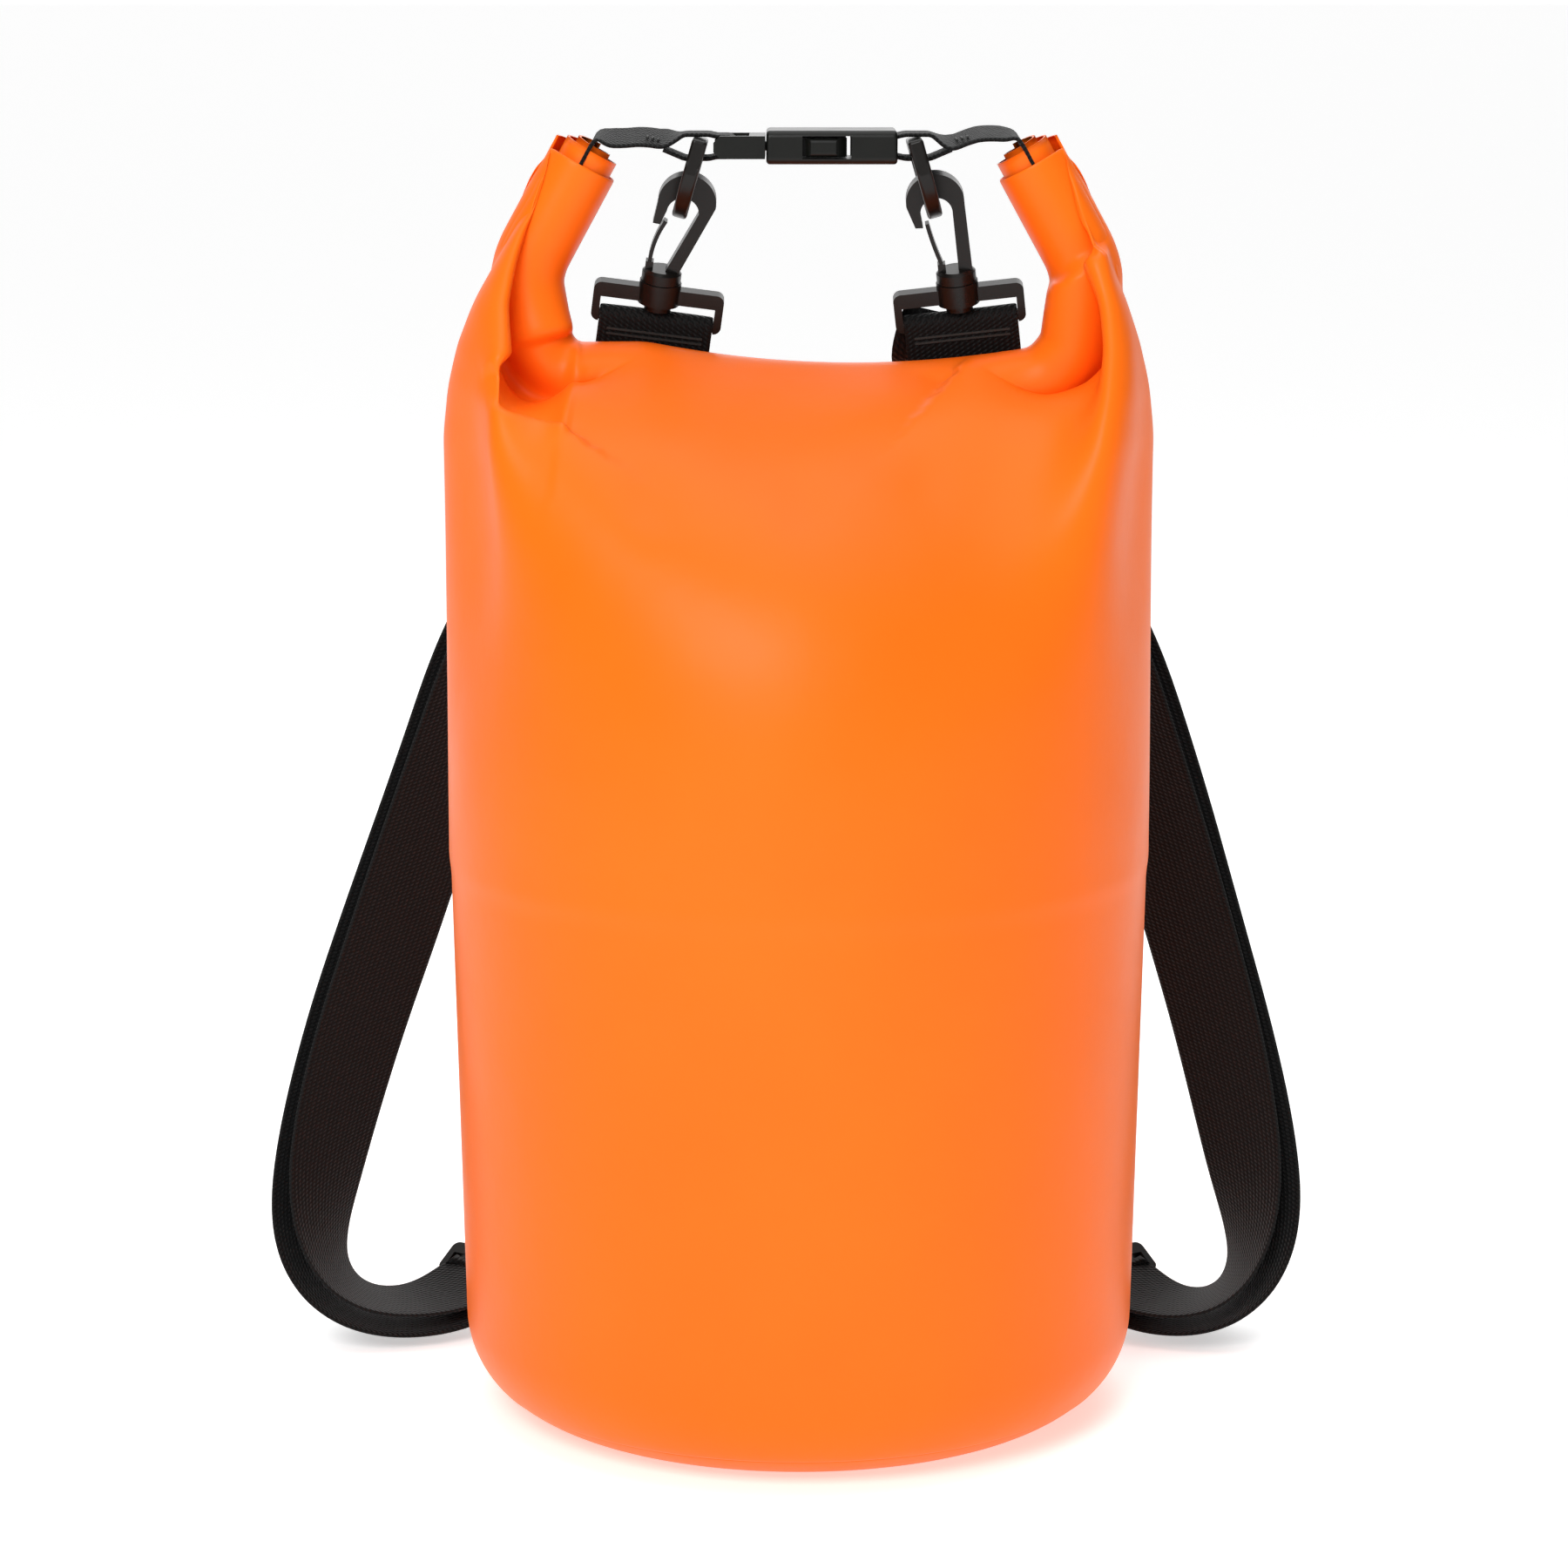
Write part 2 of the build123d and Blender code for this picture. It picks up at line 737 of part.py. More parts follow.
# Middle of the inner layer on the left-hand side and the turn of its width in plan, in
# degrees from +X: over the shoulder of the bag, off its back, out to the side and under.
strap_stations = [
    ((-49.6, 19.8, 357.0), 0),
    ((-51.2, 29.5, 350.5), 0),
    ((-54.5, 51.5, 343.0), 2),
    ((-59.5, 74.5, 333.5), 8),
    ((-66.5, 96.0, 321.0), 24),
    ((-74.0, 99.5, 301.0), 40),
    ((-91.0, 92.25, 275.5), 40),
    ((-108.0, 85.0, 250.0), 40),
    ((-125.5, 84.0, 200.0), 38),
    ((-143.0, 79.0, 150.0), 36),
    ((-157.5, 73.0, 108.0), 38),
    ((-167.5, 67.0, 70.0), 42),
    ((-171.0, 63.0, 43.0), 50),
    ((-168.0, 60.0, 26.5), 64),
    ((-159.5, 59.0, 16.5), 82),
    ((-147.0, 60.5, 12.0), 98),
    ((-131.0, 66.0, 12.0), 118),
]
slider_station = 6


def strap_point(point, side):
    """A station, pulled in beyond the bag's own radius on the side that bulges less."""
    x, y, z = point
    beyond = max(-x - body_radius, 0)
    x = x + beyond * (1 - strap_spread[side])
    return mirrored(Vector(x, y, z), side)


def fold_points(plane, top):
    """Where the webbing leaves a frame's bar, behind it and in front of it; top is 1 or -1."""
    bar_middle = (frame_bar_top + frame_bar_bottom) / 2
    rise = frame_bar_thickness / 2 + fit_gap + webbing / 2
    bar = plane.origin + plane.y_dir * bar_middle
    return bar - plane.z_dir * rise * top, bar + plane.z_dir * rise * top


def strap_frames(side):
    """Origin, tangent and width direction of every section of the inner layer."""
    upper = upper_plane(side)
    lower = lower_frame_plane(side)
    start, _ = fold_points(upper, 1)
    up_side = 1 if lower.z_dir.Z > 0 else -1
    _, end = fold_points(lower, up_side)
    middles = [start] + [strap_point(point, side) for point, _ in strap_stations] + [end]
    widths = [upper.x_dir * SIGN[side]]
    for _, angle in strap_stations:
        turn = radians(angle)
        widths.append(mirrored(Vector(cos(turn), sin(turn), 0), side))
    last = lower.x_dir
    if last.dot(widths[-1]) < 0:
        last = last * -1
    widths.append(last)
    frames = []
    for index, (middle, width) in enumerate(zip(middles, widths)):
        before = middles[max(index - 1, 0)]
        after = middles[min(index + 1, len(middles) - 1)]
        if index == 0:
            tangent = upper.y_dir * -1
        elif slider_station <= index <= slider_station + 2:
            tangent = (middles[slider_station + 2] - middles[slider_station]).normalized()
        elif index == len(middles) - 1:
            tangent = lower.y_dir
        else:
            tangent = ((after - middle).normalized() + (middle - before).normalized()).normalized()
        width = (width - tangent * width.dot(tangent)).normalized()
        frames.append((middle, tangent, width))
    return frames


def ribbon(frames):
    """Flat webbing through the given sections, straight between one and the next."""
    with BuildPart() as strip:
        for middle, tangent, width in frames:
            with BuildSketch(Plane(origin=middle, x_dir=width, z_dir=tangent)):
                Rectangle(strap_width, webbing)
        loft(ruled=True)
    return strip.part


def half_fold(plane):
    """Webbing bent half way round a frame's bar, on the side of the barrel."""
    rise = frame_bar_thickness / 2 + fit_gap
    bar = plane.origin + plane.y_dir * (frame_bar_top + frame_bar_bottom) / 2
    across = Plane(origin=bar, x_dir=plane.z_dir, z_dir=plane.x_dir)
    way = 1 if across.y_dir.dot(plane.y_dir) > 0 else -1
    with BuildPart() as fold:
        with BuildSketch(across):
            Circle(rise + webbing)
            Circle(rise, mode=Mode.SUBTRACT)
            with Locations((0, -way * (rise + webbing) / 2)):
                Rectangle(2 * (rise + webbing), rise + webbing, mode=Mode.SUBTRACT)
        extrude(amount=strap_width / 2, both=True)
    return fold.part


def make_strap_webbing(side):
    """The strap from the upper frame down to the lower frame's bar, with both folds."""
    upper = upper_plane(side)
    hem_length = 15.0
    front = fold_points(upper, 1)[1]
    hem = Plane(origin=front, x_dir=upper.x_dir, z_dir=upper.y_dir * -1)
    with BuildPart() as strap:
        add(ribbon(strap_frames(side)))
        add(half_fold(upper))
        add(half_fold(lower_frame_plane(side)))
        with BuildSketch(hem):
            Rectangle(strap_width, webbing)
        extrude(amount=hem_length)
    save(strap, f"strap_webbing_{side}")


def slider_place(side):
    """The slider's middle, the way down the strap, the webbing's width and the way off the bag."""
    middle, tangent, width = strap_frames(side)[slider_station + 1]
    out = width.cross(tangent) * SIGN[side]
    return middle, tangent, width, out


def outer_frames(side):
    """Sections of the outer layer: the inner ones moved away from the bag."""
    frames = strap_frames(side)
    lower = lower_frame_plane(side)
    up_side = 1 if lower.z_dir.Z > 0 else -1
    end, _ = fold_points(lower, up_side)
    middle, tangent, width, out = slider_place(side)
    last = len(frames) - 1
    wrap = slider_bar_rise + slider_bar_radius + fit_gap + webbing / 2
    moved = [(middle + out * wrap, tangent, width)]
    for index in range(slider_station + 2, last):
        middle, tangent, width = frames[index]
        out = width.cross(tangent) * SIGN[side]
        moved.append((middle + out * layer_gap, tangent, width))
    middle, tangent, width = frames[last]
    moved.append((end, tangent, width))
    return moved


def make_strap_return(side):
    """The outer layer: from the lower frame back up, and sewn round the slider's middle bar."""
    middle, tangent, width, out = slider_place(side)
    bar = middle + out * slider_bar_rise
    inner = slider_bar_radius + fit_gap
    across = Plane(origin=bar, x_dir=tangent, z_dir=width)
    with BuildPart() as layer:
        add(ribbon(outer_frames(side)))
        with BuildSketch(across):
            Circle(inner + webbing)
            Circle(inner, mode=Mode.SUBTRACT)
            with Locations(((inner + webbing) / 2, 0)):
                Rectangle(inner + webbing, 2 * (inner + webbing), mode=Mode.SUBTRACT)
        extrude(amount=strap_width / 2, both=True)
        tail = middle + out * (slider_bar_rise - inner - webbing / 2)
        with BuildSketch(Plane(origin=tail, x_dir=width, z_dir=tangent)):
            Rectangle(strap_width, webbing)
        extrude(amount=slider_tail)
    save(layer, f"strap_return_{side}")


def make_strap_stitching(side):
    """Rows of stitches through the hem under the upper frame."""
    upper = upper_plane(side)
    front = fold_points(upper, 1)[1]
    rise = webbing / 2 + stitch_height / 2
    with BuildPart() as stitching:
        for down in stitch_rows:
            row = front - upper.y_dir * down + upper.z_dir * rise
            with BuildSketch(Plane(origin=row, x_dir=upper.x_dir, z_dir=upper.z_dir)):
                Rectangle(strap_width - 6, 0.7)
            extrude(amount=stitch_height / 2, both=True)
    save(stitching, f"strap_stitching_{side}")


def make_slider(side):
    """Three-bar slider: end bars on the bag's side of the strap, middle bar outside it."""
    middle, tangent, width, out = slider_place(side)
    half_slot = strap_width / 2 + 3 * fit_gap
    half_width = half_slot + slider_rim
    flat = Plane(origin=middle, x_dir=width, z_dir=width.cross(tangent))
    sign = SIGN[side]
    levels = sorted((slider_low * sign, slider_high * sign))
    bars = sorted((slider_low * sign, -(webbing / 2 + 2 * fit_gap) * sign))
    with BuildPart() as slider:
        with BuildSketch(Plane(origin=middle + flat.z_dir * levels[0], x_dir=width, z_dir=flat.z_dir)):
            RectangleRounded(2 * half_width, slider_length, slider_rim)
            Rectangle(2 * half_slot, slider_length, mode=Mode.SUBTRACT)
        extrude(amount=levels[1] - levels[0])
        with BuildSketch(Plane(origin=middle + flat.z_dir * bars[0], x_dir=width, z_dir=flat.z_dir)):
            with Locations((0, (slider_length - slider_rim) / 2), (0, (slider_rim - slider_length) / 2)):
                Rectangle(2 * half_slot + slider_rim, slider_rim)
        extrude(amount=bars[1] - bars[0])
        with BuildSketch(Plane(origin=middle + out * slider_bar_rise, x_dir=tangent, z_dir=width)):
            Circle(slider_bar_radius)
        extrude(amount=half_slot + slider_rim / 2, both=True)
    save(slider, f"slider_{side}")


make_body_wall()
make_base_panel()
make_rolled_top()
make_stiffener("stiffener_strip_front", -1)
make_stiffener("stiffener_strip_back", 1)
make_buckle_socket()
make_buckle_plug()
make_buckle_latch("buckle_latch_front", -1)
make_buckle_latch("buckle_latch_back", 1)
for side in ("left", "right"):
    make_closure_webbing(side)
    make_closure_stitching(side)
    make_top_d_ring(side)
    make_lower_patch(side)
    make_lower_tab(side)
    make_lower_d_ring(side)
    make_hook_set("upper", side, upper_plane(side), upper_plane(side), crook_lean[side])
    make_hook_set("lower", side, lower_frame_plane(side), lower_hook_plane(side), 0)
    make_strap_webbing(side)
    make_strap_stitching(side)
    make_strap_return(side)
    make_slider(side)
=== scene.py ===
import math

import bpy
import numpy as np
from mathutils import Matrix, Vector


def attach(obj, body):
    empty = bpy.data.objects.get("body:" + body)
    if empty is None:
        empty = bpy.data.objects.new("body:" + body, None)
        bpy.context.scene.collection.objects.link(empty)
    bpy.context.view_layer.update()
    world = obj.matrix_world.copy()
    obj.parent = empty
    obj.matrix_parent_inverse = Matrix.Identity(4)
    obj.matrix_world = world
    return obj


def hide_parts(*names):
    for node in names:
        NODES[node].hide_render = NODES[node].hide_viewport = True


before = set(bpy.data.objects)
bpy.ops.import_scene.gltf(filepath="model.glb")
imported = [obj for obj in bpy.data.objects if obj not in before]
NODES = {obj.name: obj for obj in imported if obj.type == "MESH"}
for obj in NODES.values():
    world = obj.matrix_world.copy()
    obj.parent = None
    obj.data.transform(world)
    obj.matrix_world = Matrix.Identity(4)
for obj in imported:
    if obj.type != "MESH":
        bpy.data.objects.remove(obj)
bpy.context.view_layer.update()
MM = 0.001

# the bag, in millimetres, as in the CAD
BODY_R = 118.0
BASE_R = 114.0
BASE_CORNER = 32.0
TAPER_TOP = 215.0
SEAM_ANGLE = 315.0
LAP_GAP = 0.35
CLOSURE_X = 2.5
ROLL_DEPTH = 14.0
ROLL_HEIGHT = 12.0
EAR_TIP = (70.0, 428.0)
EAR_ELBOW = (93.0, 386.0)
EAR_CORNER = (88.0, 343.0)
EAR_BENDS = [25.0, 16.0, 16.0, 25.0]
WEB = 1.4
CLOSURE_WIDTH = 25.0
STRAP_WIDTH = 38.0
BUCKLE_Z = 426.5
RIPPLE_LENGTH = 23.0
WARP_PITCH = 1.9
RIB_PITCH = 1.5
RIB_SLANT = 0.55

# the ridge between the ears sags a little, lowest off-centre
SAG = 7.0
SAG_X = 18.0
SAG_REACH = 70.0
SAG_FADE = (350.0, 390.0)


# --- materials ------------------------------------------------------------------


def new_material(name):
    """An empty node material and its Principled shader."""
    mat = bpy.data.materials.new(name)
    mat.use_nodes = True
    return mat, mat.node_tree, mat.node_tree.nodes["Principled BSDF"]


def node(tree, kind, **values):
    """A node with its properties and unlinked inputs set."""
    made = tree.nodes.new(kind)
    for key, value in values.items():
        if key in made.inputs.keys():
            made.inputs[key].default_value = value
        else:
            setattr(made, key, value)
    return made


def ramp(tree, source, stops):
    """A colour ramp fed by source."""
    made = tree.nodes.new("ShaderNodeValToRGB")
    while len(made.color_ramp.elements) < len(stops):
        made.color_ramp.elements.new(0.5)
    for element, (place, colour) in zip(made.color_ramp.elements, stops):
        element.position = place
        element.color = (*colour, 1)
    tree.links.new(source, made.inputs["Fac"])
    return made.outputs["Color"]


def math_node(tree, operation, a, b=None):
    """A Math node with numbers or sockets as its inputs."""
    made = tree.nodes.new("ShaderNodeMath")
    made.operation = operation
    for place, value in enumerate((a, b)):
        if value is None:
            continue
        if isinstance(value, (int, float)):
            made.inputs[place].default_value = value
        else:
            tree.links.new(value, made.inputs[place])
    return made.outputs[0]


def bump(tree, shader, height, distance, strength=1.0, below=None):
    """Bump from a height socket, on top of another bump's normal."""
    made = node(tree, "ShaderNodeBump", Strength=strength, Distance=distance)
    tree.links.new(height, made.inputs["Height"])
    if below is not None:
        tree.links.new(below, made.inputs["Normal"])
    tree.links.new(made.outputs["Normal"], shader.inputs["Normal"])
    return made.outputs["Normal"]


def tarpaulin():
    """Orange coated fabric: satin, with the cloth's fine grid just showing."""
    mat, tree, shader = new_material("tarpaulin")
    place = node(tree, "ShaderNodeTexCoord").outputs["Object"]
    broad = node(tree, "ShaderNodeTexNoise", Scale=9.0, Detail=3.0, Roughness=0.55)
    fine = node(tree, "ShaderNodeTexNoise", Scale=420.0, Detail=2.0)
    soft = node(tree, "ShaderNodeTexNoise", Scale=38.0, Detail=2.0)
    for noise in (broad, fine, soft):
        tree.links.new(place, noise.inputs["Vector"])
    colour = ramp(
        tree,
        broad.outputs["Fac"],
        [(0.3, (0.92, 0.148, 0.005)), (0.7, (0.97, 0.162, 0.007))],
    )
    tree.links.new(colour, shader.inputs["Base Color"])
    rough = node(tree, "ShaderNodeMapRange")
    rough.inputs["To Min"].default_value = 0.34
    rough.inputs["To Max"].default_value = 0.46
    tree.links.new(soft.outputs["Fac"], rough.inputs["Value"])
    tree.links.new(rough.outputs["Result"], shader.inputs["Roughness"])
    shader.inputs["Specular IOR Level"].default_value = 0.15
    first = bump(tree, shader, soft.outputs["Fac"], 0.0012, 0.30)
    bump(tree, shader, fine.outputs["Fac"], 0.0002, 0.18, below=first)
    return mat


def webbing_material(name, dark, light):
    """Woven black webbing: ribs across it, split into warp columns that step diagonally.

    The weave layer's coordinates are in millimetres across and along the webbing. Its colour goes from
    dark to light with the weave's height: painted shade in the hollows and a painted highlight on the
    raised ribs.
    """
    mat, tree, shader = new_material(name)
    uv = node(tree, "ShaderNodeUVMap", uv_map="weave").outputs["UV"]
    split = node(tree, "ShaderNodeSeparateXYZ")
    tree.links.new(uv, split.inputs[0])
    across, along = split.outputs["X"], split.outputs["Y"]
    column = math_node(tree, "MULTIPLY", across, 2 * math.pi / WARP_PITCH)
    warp = math_node(tree, "SINE", column)
    slant = math_node(tree, "MULTIPLY", across, RIB_SLANT)
    shifted = math_node(tree, "ADD", along, slant)
    weft = math_node(tree, "SINE", math_node(tree, "MULTIPLY", shifted, 2 * math.pi / RIB_PITCH))
    warp_level = math_node(tree, "ADD", warp, 1.4)
    weft_level = math_node(tree, "ADD", weft, 1.2)
    rib = math_node(tree, "MULTIPLY", warp_level, weft_level)
    height = math_node(tree, "MULTIPLY", rib, 0.19)
    place = node(tree, "ShaderNodeTexCoord").outputs["Object"]
    fuzz = node(tree, "ShaderNodeTexNoise", Scale=900.0, Detail=3.0)
    tree.links.new(place, fuzz.inputs["Vector"])
    # painted shade and highlight: the weave's hollows are coloured darker and its raised ribs lighter
    colour = ramp(tree, height, [(0.0, dark), (0.9, light)])
    tree.links.new(colour, shader.inputs["Base Color"])
    shader.inputs["Roughness"].default_value = 0.62
    shader.inputs["Sheen Weight"].default_value = 0.05
    shader.inputs["Sheen Roughness"].default_value = 0.5
    shader.inputs["Specular IOR Level"].default_value = 0.15
    first = bump(tree, shader, height, 0.0006, 0.8)
    bump(tree, shader, fuzz.outputs["Fac"], 0.00015, 0.4, below=first)
    return mat


def acetal(name, colour, rough):
    """Moulded plastic with a faint grain and slightly uneven gloss."""
    mat, tree, shader = new_material(name)
    place = node(tree, "ShaderNodeTexCoord").outputs["Object"]
    grain = node(tree, "ShaderNodeTexNoise", Scale=1500.0, Detail=2.0)
    cloud = node(tree, "ShaderNodeTexNoise", Scale=70.0, Detail=3.0)
    for noise in (grain, cloud):
        tree.links.new(place, noise.inputs["Vector"])
    darker = tuple(0.78 * c for c in colour)
    tone = ramp(tree, cloud.outputs["Fac"], [(0.3, darker), (0.7, colour)])
    tree.links.new(tone, shader.inputs["Base Color"])
    gloss = node(tree, "ShaderNodeMapRange")
    gloss.inputs["To Min"].default_value = rough - 0.05
    gloss.inputs["To Max"].default_value = rough + 0.07
    tree.links.new(cloud.outputs["Fac"], gloss.inputs["Value"])
    tree.links.new(gloss.outputs["Result"], shader.inputs["Roughness"])
    shader.inputs["Specular IOR Level"].default_value = 0.22
    bump(tree, shader, grain.outputs["Fac"], 0.00008, 0.25)
    return mat


def plain_weave(name, colour, rough):
    """Thread and other small fabric trim."""
    mat, tree, shader = new_material(name)
    place = node(tree, "ShaderNodeTexCoord").outputs["Object"]
    twist = node(tree, "ShaderNodeTexNoise", Scale=1200.0, Detail=2.0)
    tree.links.new(place, twist.inputs["Vector"])
    tone = ramp(tree, twist.outputs["Fac"], [(0.3, tuple(0.6 * c for c in colour)), (0.7, colour)])
    tree.links.new(tone, shader.inputs["Base Color"])
    shader.inputs["Roughness"].default_value = rough
    bump(tree, shader, twist.outputs["Fac"], 0.0001, 0.5)
    return mat


ORANGE = tarpaulin()
# the webbing's two tones: the darker is painted shade for the weave's hollows, the lighter a painted
# highlight for its ribs
WEBBING = webbing_material("webbing", (0.001, 0.001, 0.001), (0.006, 0.0065, 0.0065))
BUCKLE = acetal("buckle_plastic", (0.004, 0.0045, 0.0035), 0.36)
HOOK = acetal("hook_plastic", (0.007, 0.0058, 0.005), 0.28)
STRIP = acetal("stiffener_plastic", (0.02, 0.02, 0.02), 0.5)
THREAD = plain_weave("thread", (0.02, 0.02, 0.018), 0.7)


# --- mesh helpers -----------------------------------------------------------------


def make_object(name, verts, faces, material, body, uvs=None, smooth=True):
    """A mesh piece in metres, riding on a body."""
    mesh = bpy.data.meshes.new(name)
    mesh.from_pydata([tuple(v) for v in verts], [], faces)
    if uvs is not None:
        layer = mesh.uv_layers.new(name="weave")
        index = np.zeros(len(mesh.loops), np.int32)
        mesh.loops.foreach_get("vertex_index", index)
        layer.data.foreach_set("uv", np.asarray(uvs, np.float32)[index].ravel())
    mesh.materials.append(material)
    mesh.validate()
    mesh.polygons.foreach_set("use_smooth", [smooth] * len(mesh.polygons))
    obj = bpy.data.objects.new(name, mesh)
    bpy.context.scene.collection.objects.link(obj)
    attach(obj, body)
    return obj


def grid_faces(rows, columns, closed=False, first=0):
    """Quads of a rows by columns grid whose vertices run column by column within a row."""
    faces = []
    span = columns if closed else columns - 1
    for i in range(rows - 1):
        for j in range(span):
            k = (j + 1) % columns
            a = first + i * columns
            faces.append((a + j, a + k, a + columns + k, a + columns + j))
    return faces


def unit(v):
    v = np.asarray(v, float)
    return v / np.maximum(np.linalg.norm(v, axis=-1, keepdims=True), 1e-12)


def rounded(points, radii, step):
    """Points along a polyline with its corners rounded off."""
    points = [np.asarray(p, float) for p in points]
    out = [points[0]]
    for k in range(1, len(points) - 1):
        p = points[k]
        a, b = unit(points[k - 1] - p), unit(points[k + 1] - p)
        angle = math.acos(float(np.clip(a @ b, -1, 1)))
        cut = radii[k - 1] / math.tan(angle / 2)
        room = 0.5 * min(np.linalg.norm(points[k - 1] - p), np.linalg.norm(points[k + 1] - p))
        radius = radii[k - 1] * min(1.0, room * 0.999 / max(cut, 1e-9))
        cut = radius / math.tan(angle / 2)
        centre = p + unit(a + b) * radius / math.sin(angle / 2)
        start, end = p + a * cut - centre, p + b * cut - centre
        turn = math.pi - angle
        count = max(4, int(turn * radius / step) + 2)
        for i in range(count + 1):
            t = i / count
            blend = start * math.sin((1 - t) * turn) + end * math.sin(t * turn)
            out.append(centre + blend / max(math.sin(turn), 1e-9))
    out.append(points[-1])
    return resample(np.array(out), step)


def resample(points, step):
    """Points evenly spaced along a polyline."""
    length = np.concatenate([[0], np.cumsum(np.linalg.norm(np.diff(points, axis=0), axis=1))])
    count = max(2, int(round(length[-1] / step)) + 1)
    at = np.linspace(0, length[-1], count)
    return np.stack([np.interp(at, length, points[:, k]) for k in range(points.shape[1])], 1)


def smooth_curve(points, step, passes=3):
    """A smooth curve near the given stations, its ends kept."""
    points = np.asarray(points, float)
    for _ in range(passes):
        new = [points[0]]
        for a, b in zip(points[:-1], points[1:]):
            new += [0.75 * a + 0.25 * b, 0.25 * a + 0.75 * b]
        new.append(points[-1])
        points = np.array(new)
    return resample(points, step)


def strip_mesh(points, across, width, thickness, wave=0.0, phase=0.0):
    """Webbing along points (mm): vertices in metres, faces, and uv in mm along the weave.

    Its section is a flat strip with rounded edges, whose edges ripple by wave.
    """
    points = np.asarray(points, float)
    tangent = unit(np.gradient(points, axis=0))
    across = np.asarray(across, float)
    across = unit(across - tangent * np.sum(across * tangent, 1, keepdims=True))
    normal = np.cross(tangent, across)
    length = np.concatenate([[0], np.cumsum(np.linalg.norm(np.diff(points, axis=0), axis=1))])
    half, depth = width / 2, thickness / 2
    outline = [(-half, -0.35 * depth), (-half + 0.35, -0.85 * depth), (-half + 1.1, -depth)]
    outline += [(x, -depth) for x in np.linspace(-half + 3, half - 3, 9)]
    outline += [(half - 1.1, -depth), (half - 0.35, -0.85 * depth), (half, -0.35 * depth)]
    outline += [(-x, -y) for x, y in outline]
    outline = np.array(outline)
    ripple = wave * np.sin(length / RIPPLE_LENGTH + phase)[:, None]
    lift = outline[None, :, 1:] + (ripple * (outline[:, 0] / half) ** 2)[..., None]
    verts = points[:, None] + across[:, None] * outline[None, :, :1] + normal[:, None] * lift
    n, m = len(points), len(outline)
    across_mm = np.broadcast_to(outline[:, 0], (n, m))
    along_mm = np.broadcast_to(length[:, None], (n, m))
    uv = np.stack([across_mm, along_mm], -1)
    faces = grid_faces(n, m, closed=True)
    faces.append(tuple(range(m - 1, -1, -1)))
    faces.append(tuple((n - 1) * m + k for k in range(m)))
    return verts.reshape(-1, 3) * MM, faces, uv.reshape(-1, 2)


def webbing_piece(name, points, across, width, body, replaced, wave=0.0, phase=0.0):
    """A strip of webbing that stands for a CAD node."""
    verts, faces, uv = strip_mesh(points, across, width, WEB - 0.1, wave, phase)
    obj = make_object(name, verts, faces, WEBBING, body, uv)
    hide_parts(replaced)


# --- the roll's path -----------------------------------------------------------------


def smoothstep(x, low, high):
    t = np.clip((np.asarray(x, float) - low) / (high - low), 0, 1)
    return t * t * (3 - 2 * t)


def roll_path():
    """Stations down the left ear, along the ridge and up the right ear, with inward normals."""
    half = [EAR_TIP, EAR_ELBOW, EAR_CORNER]
    points = [(CLOSURE_X - x, z) for x, z in half]
    points += [(CLOSURE_X + x, z) for x, z in reversed(half)]
    line = rounded([np.array(p) for p in points], EAR_BENDS, 2.0)
    off = line[:, 0] - SAG_X
    sag = SAG * np.clip(off / SAG_REACH, -1, 1) ** 2
    line[:, 1] += sag * (1 - smoothstep(line[:, 1], *SAG_FADE))
    tangent = unit(np.gradient(line, axis=0))
    normal = np.stack([-tangent[:, 1], tangent[:, 0]], 1)
    length = np.concatenate([[0], np.cumsum(np.linalg.norm(np.diff(line, axis=0), axis=1))])
    return line, tangent, normal, length


PATH, PATH_T, PATH_N, PATH_S = roll_path()
PATH_LENGTH = PATH_S[-1]


def path_at(s):
    """Point, tangent and inward normal of the roll's path at lengths s, as 3-D vectors."""
    s = np.asarray(s, float)

    def pick(values):
        x = np.interp(s, PATH_S, values[:, 0])
        z = np.interp(s, PATH_S, values[:, 1])
        return np.stack([x, np.zeros_like(x), z], -1)

    return pick(PATH), unit(pick(PATH_T)), unit(pick(PATH_N))


def roll_point(s, theta, scale=1.0):
    """A point on the roll's oval surface: theta 0 at the front, 90 on the inner side."""
    point, _, normal = path_at(s)
    theta = np.radians(theta)
    front = np.array([0.0, -1.0, 0.0])
    depth = (ROLL_DEPTH * scale * np.cos(theta))[..., None]
    height = (ROLL_HEIGHT * scale * np.sin(theta))[..., None]
    return point + front * depth + normal * height


# --- tarpaulin shell -----------------------------------------------------------------

COLUMNS = 160
HALF = COLUMNS // 2
WRAP_INSET = 8.0
FIXED_TOP = 185.0
FREE_ROWS = 46
WRAP_ROWS = 13
WRAP_END = 232.0
WRAP_SCALE = 1.03
# degrees round the roll where the tube meets it, and mm from its ends where they change
FRONT_ANGLE = 60
BACK_ANGLE = -128
EAR_TURN = 130
EAR_FADE = (70, 125)
BACK_FADE = 45
PRESSURE = 0.0006
WEIGHT = 0.0002
KEPT_SPEED = 0.90
SLACK = 1.004
STEPS = 900
CALMING_PASSES = 110
HANDLE_GAIN = 0.05


def column_lengths(columns=COLUMNS):
    """Where on the roll each column of the tube arrives, front columns first."""
    j = np.arange(columns)
    half = columns // 2
    share = np.where(j <= half, j / half, (columns - j) / half)
    return WRAP_INSET + (PATH_LENGTH - 2 * WRAP_INSET) * share


def wall_radius(z):
    """Radius of the tapering wall above the base's corner."""
    return BASE_R + (BODY_R - BASE_R) * (z - BASE_CORNER) / (TAPER_TOP - BASE_CORNER)


def lower_rows():
    """Fixed rows from the base's seam to where the cloth is free to move."""
    rows = []
    for angle in np.linspace(SEAM_ANGLE, 360, 8)[:-1]:
        a = math.radians(angle)
        reach = BASE_R - BASE_CORNER + BASE_CORNER * math.cos(a)
        rows.append((reach, BASE_CORNER + BASE_CORNER * math.sin(a)))
    for z in np.linspace(BASE_CORNER, FIXED_TOP, 26):
        rows.append((wall_radius(z), z))
    return rows


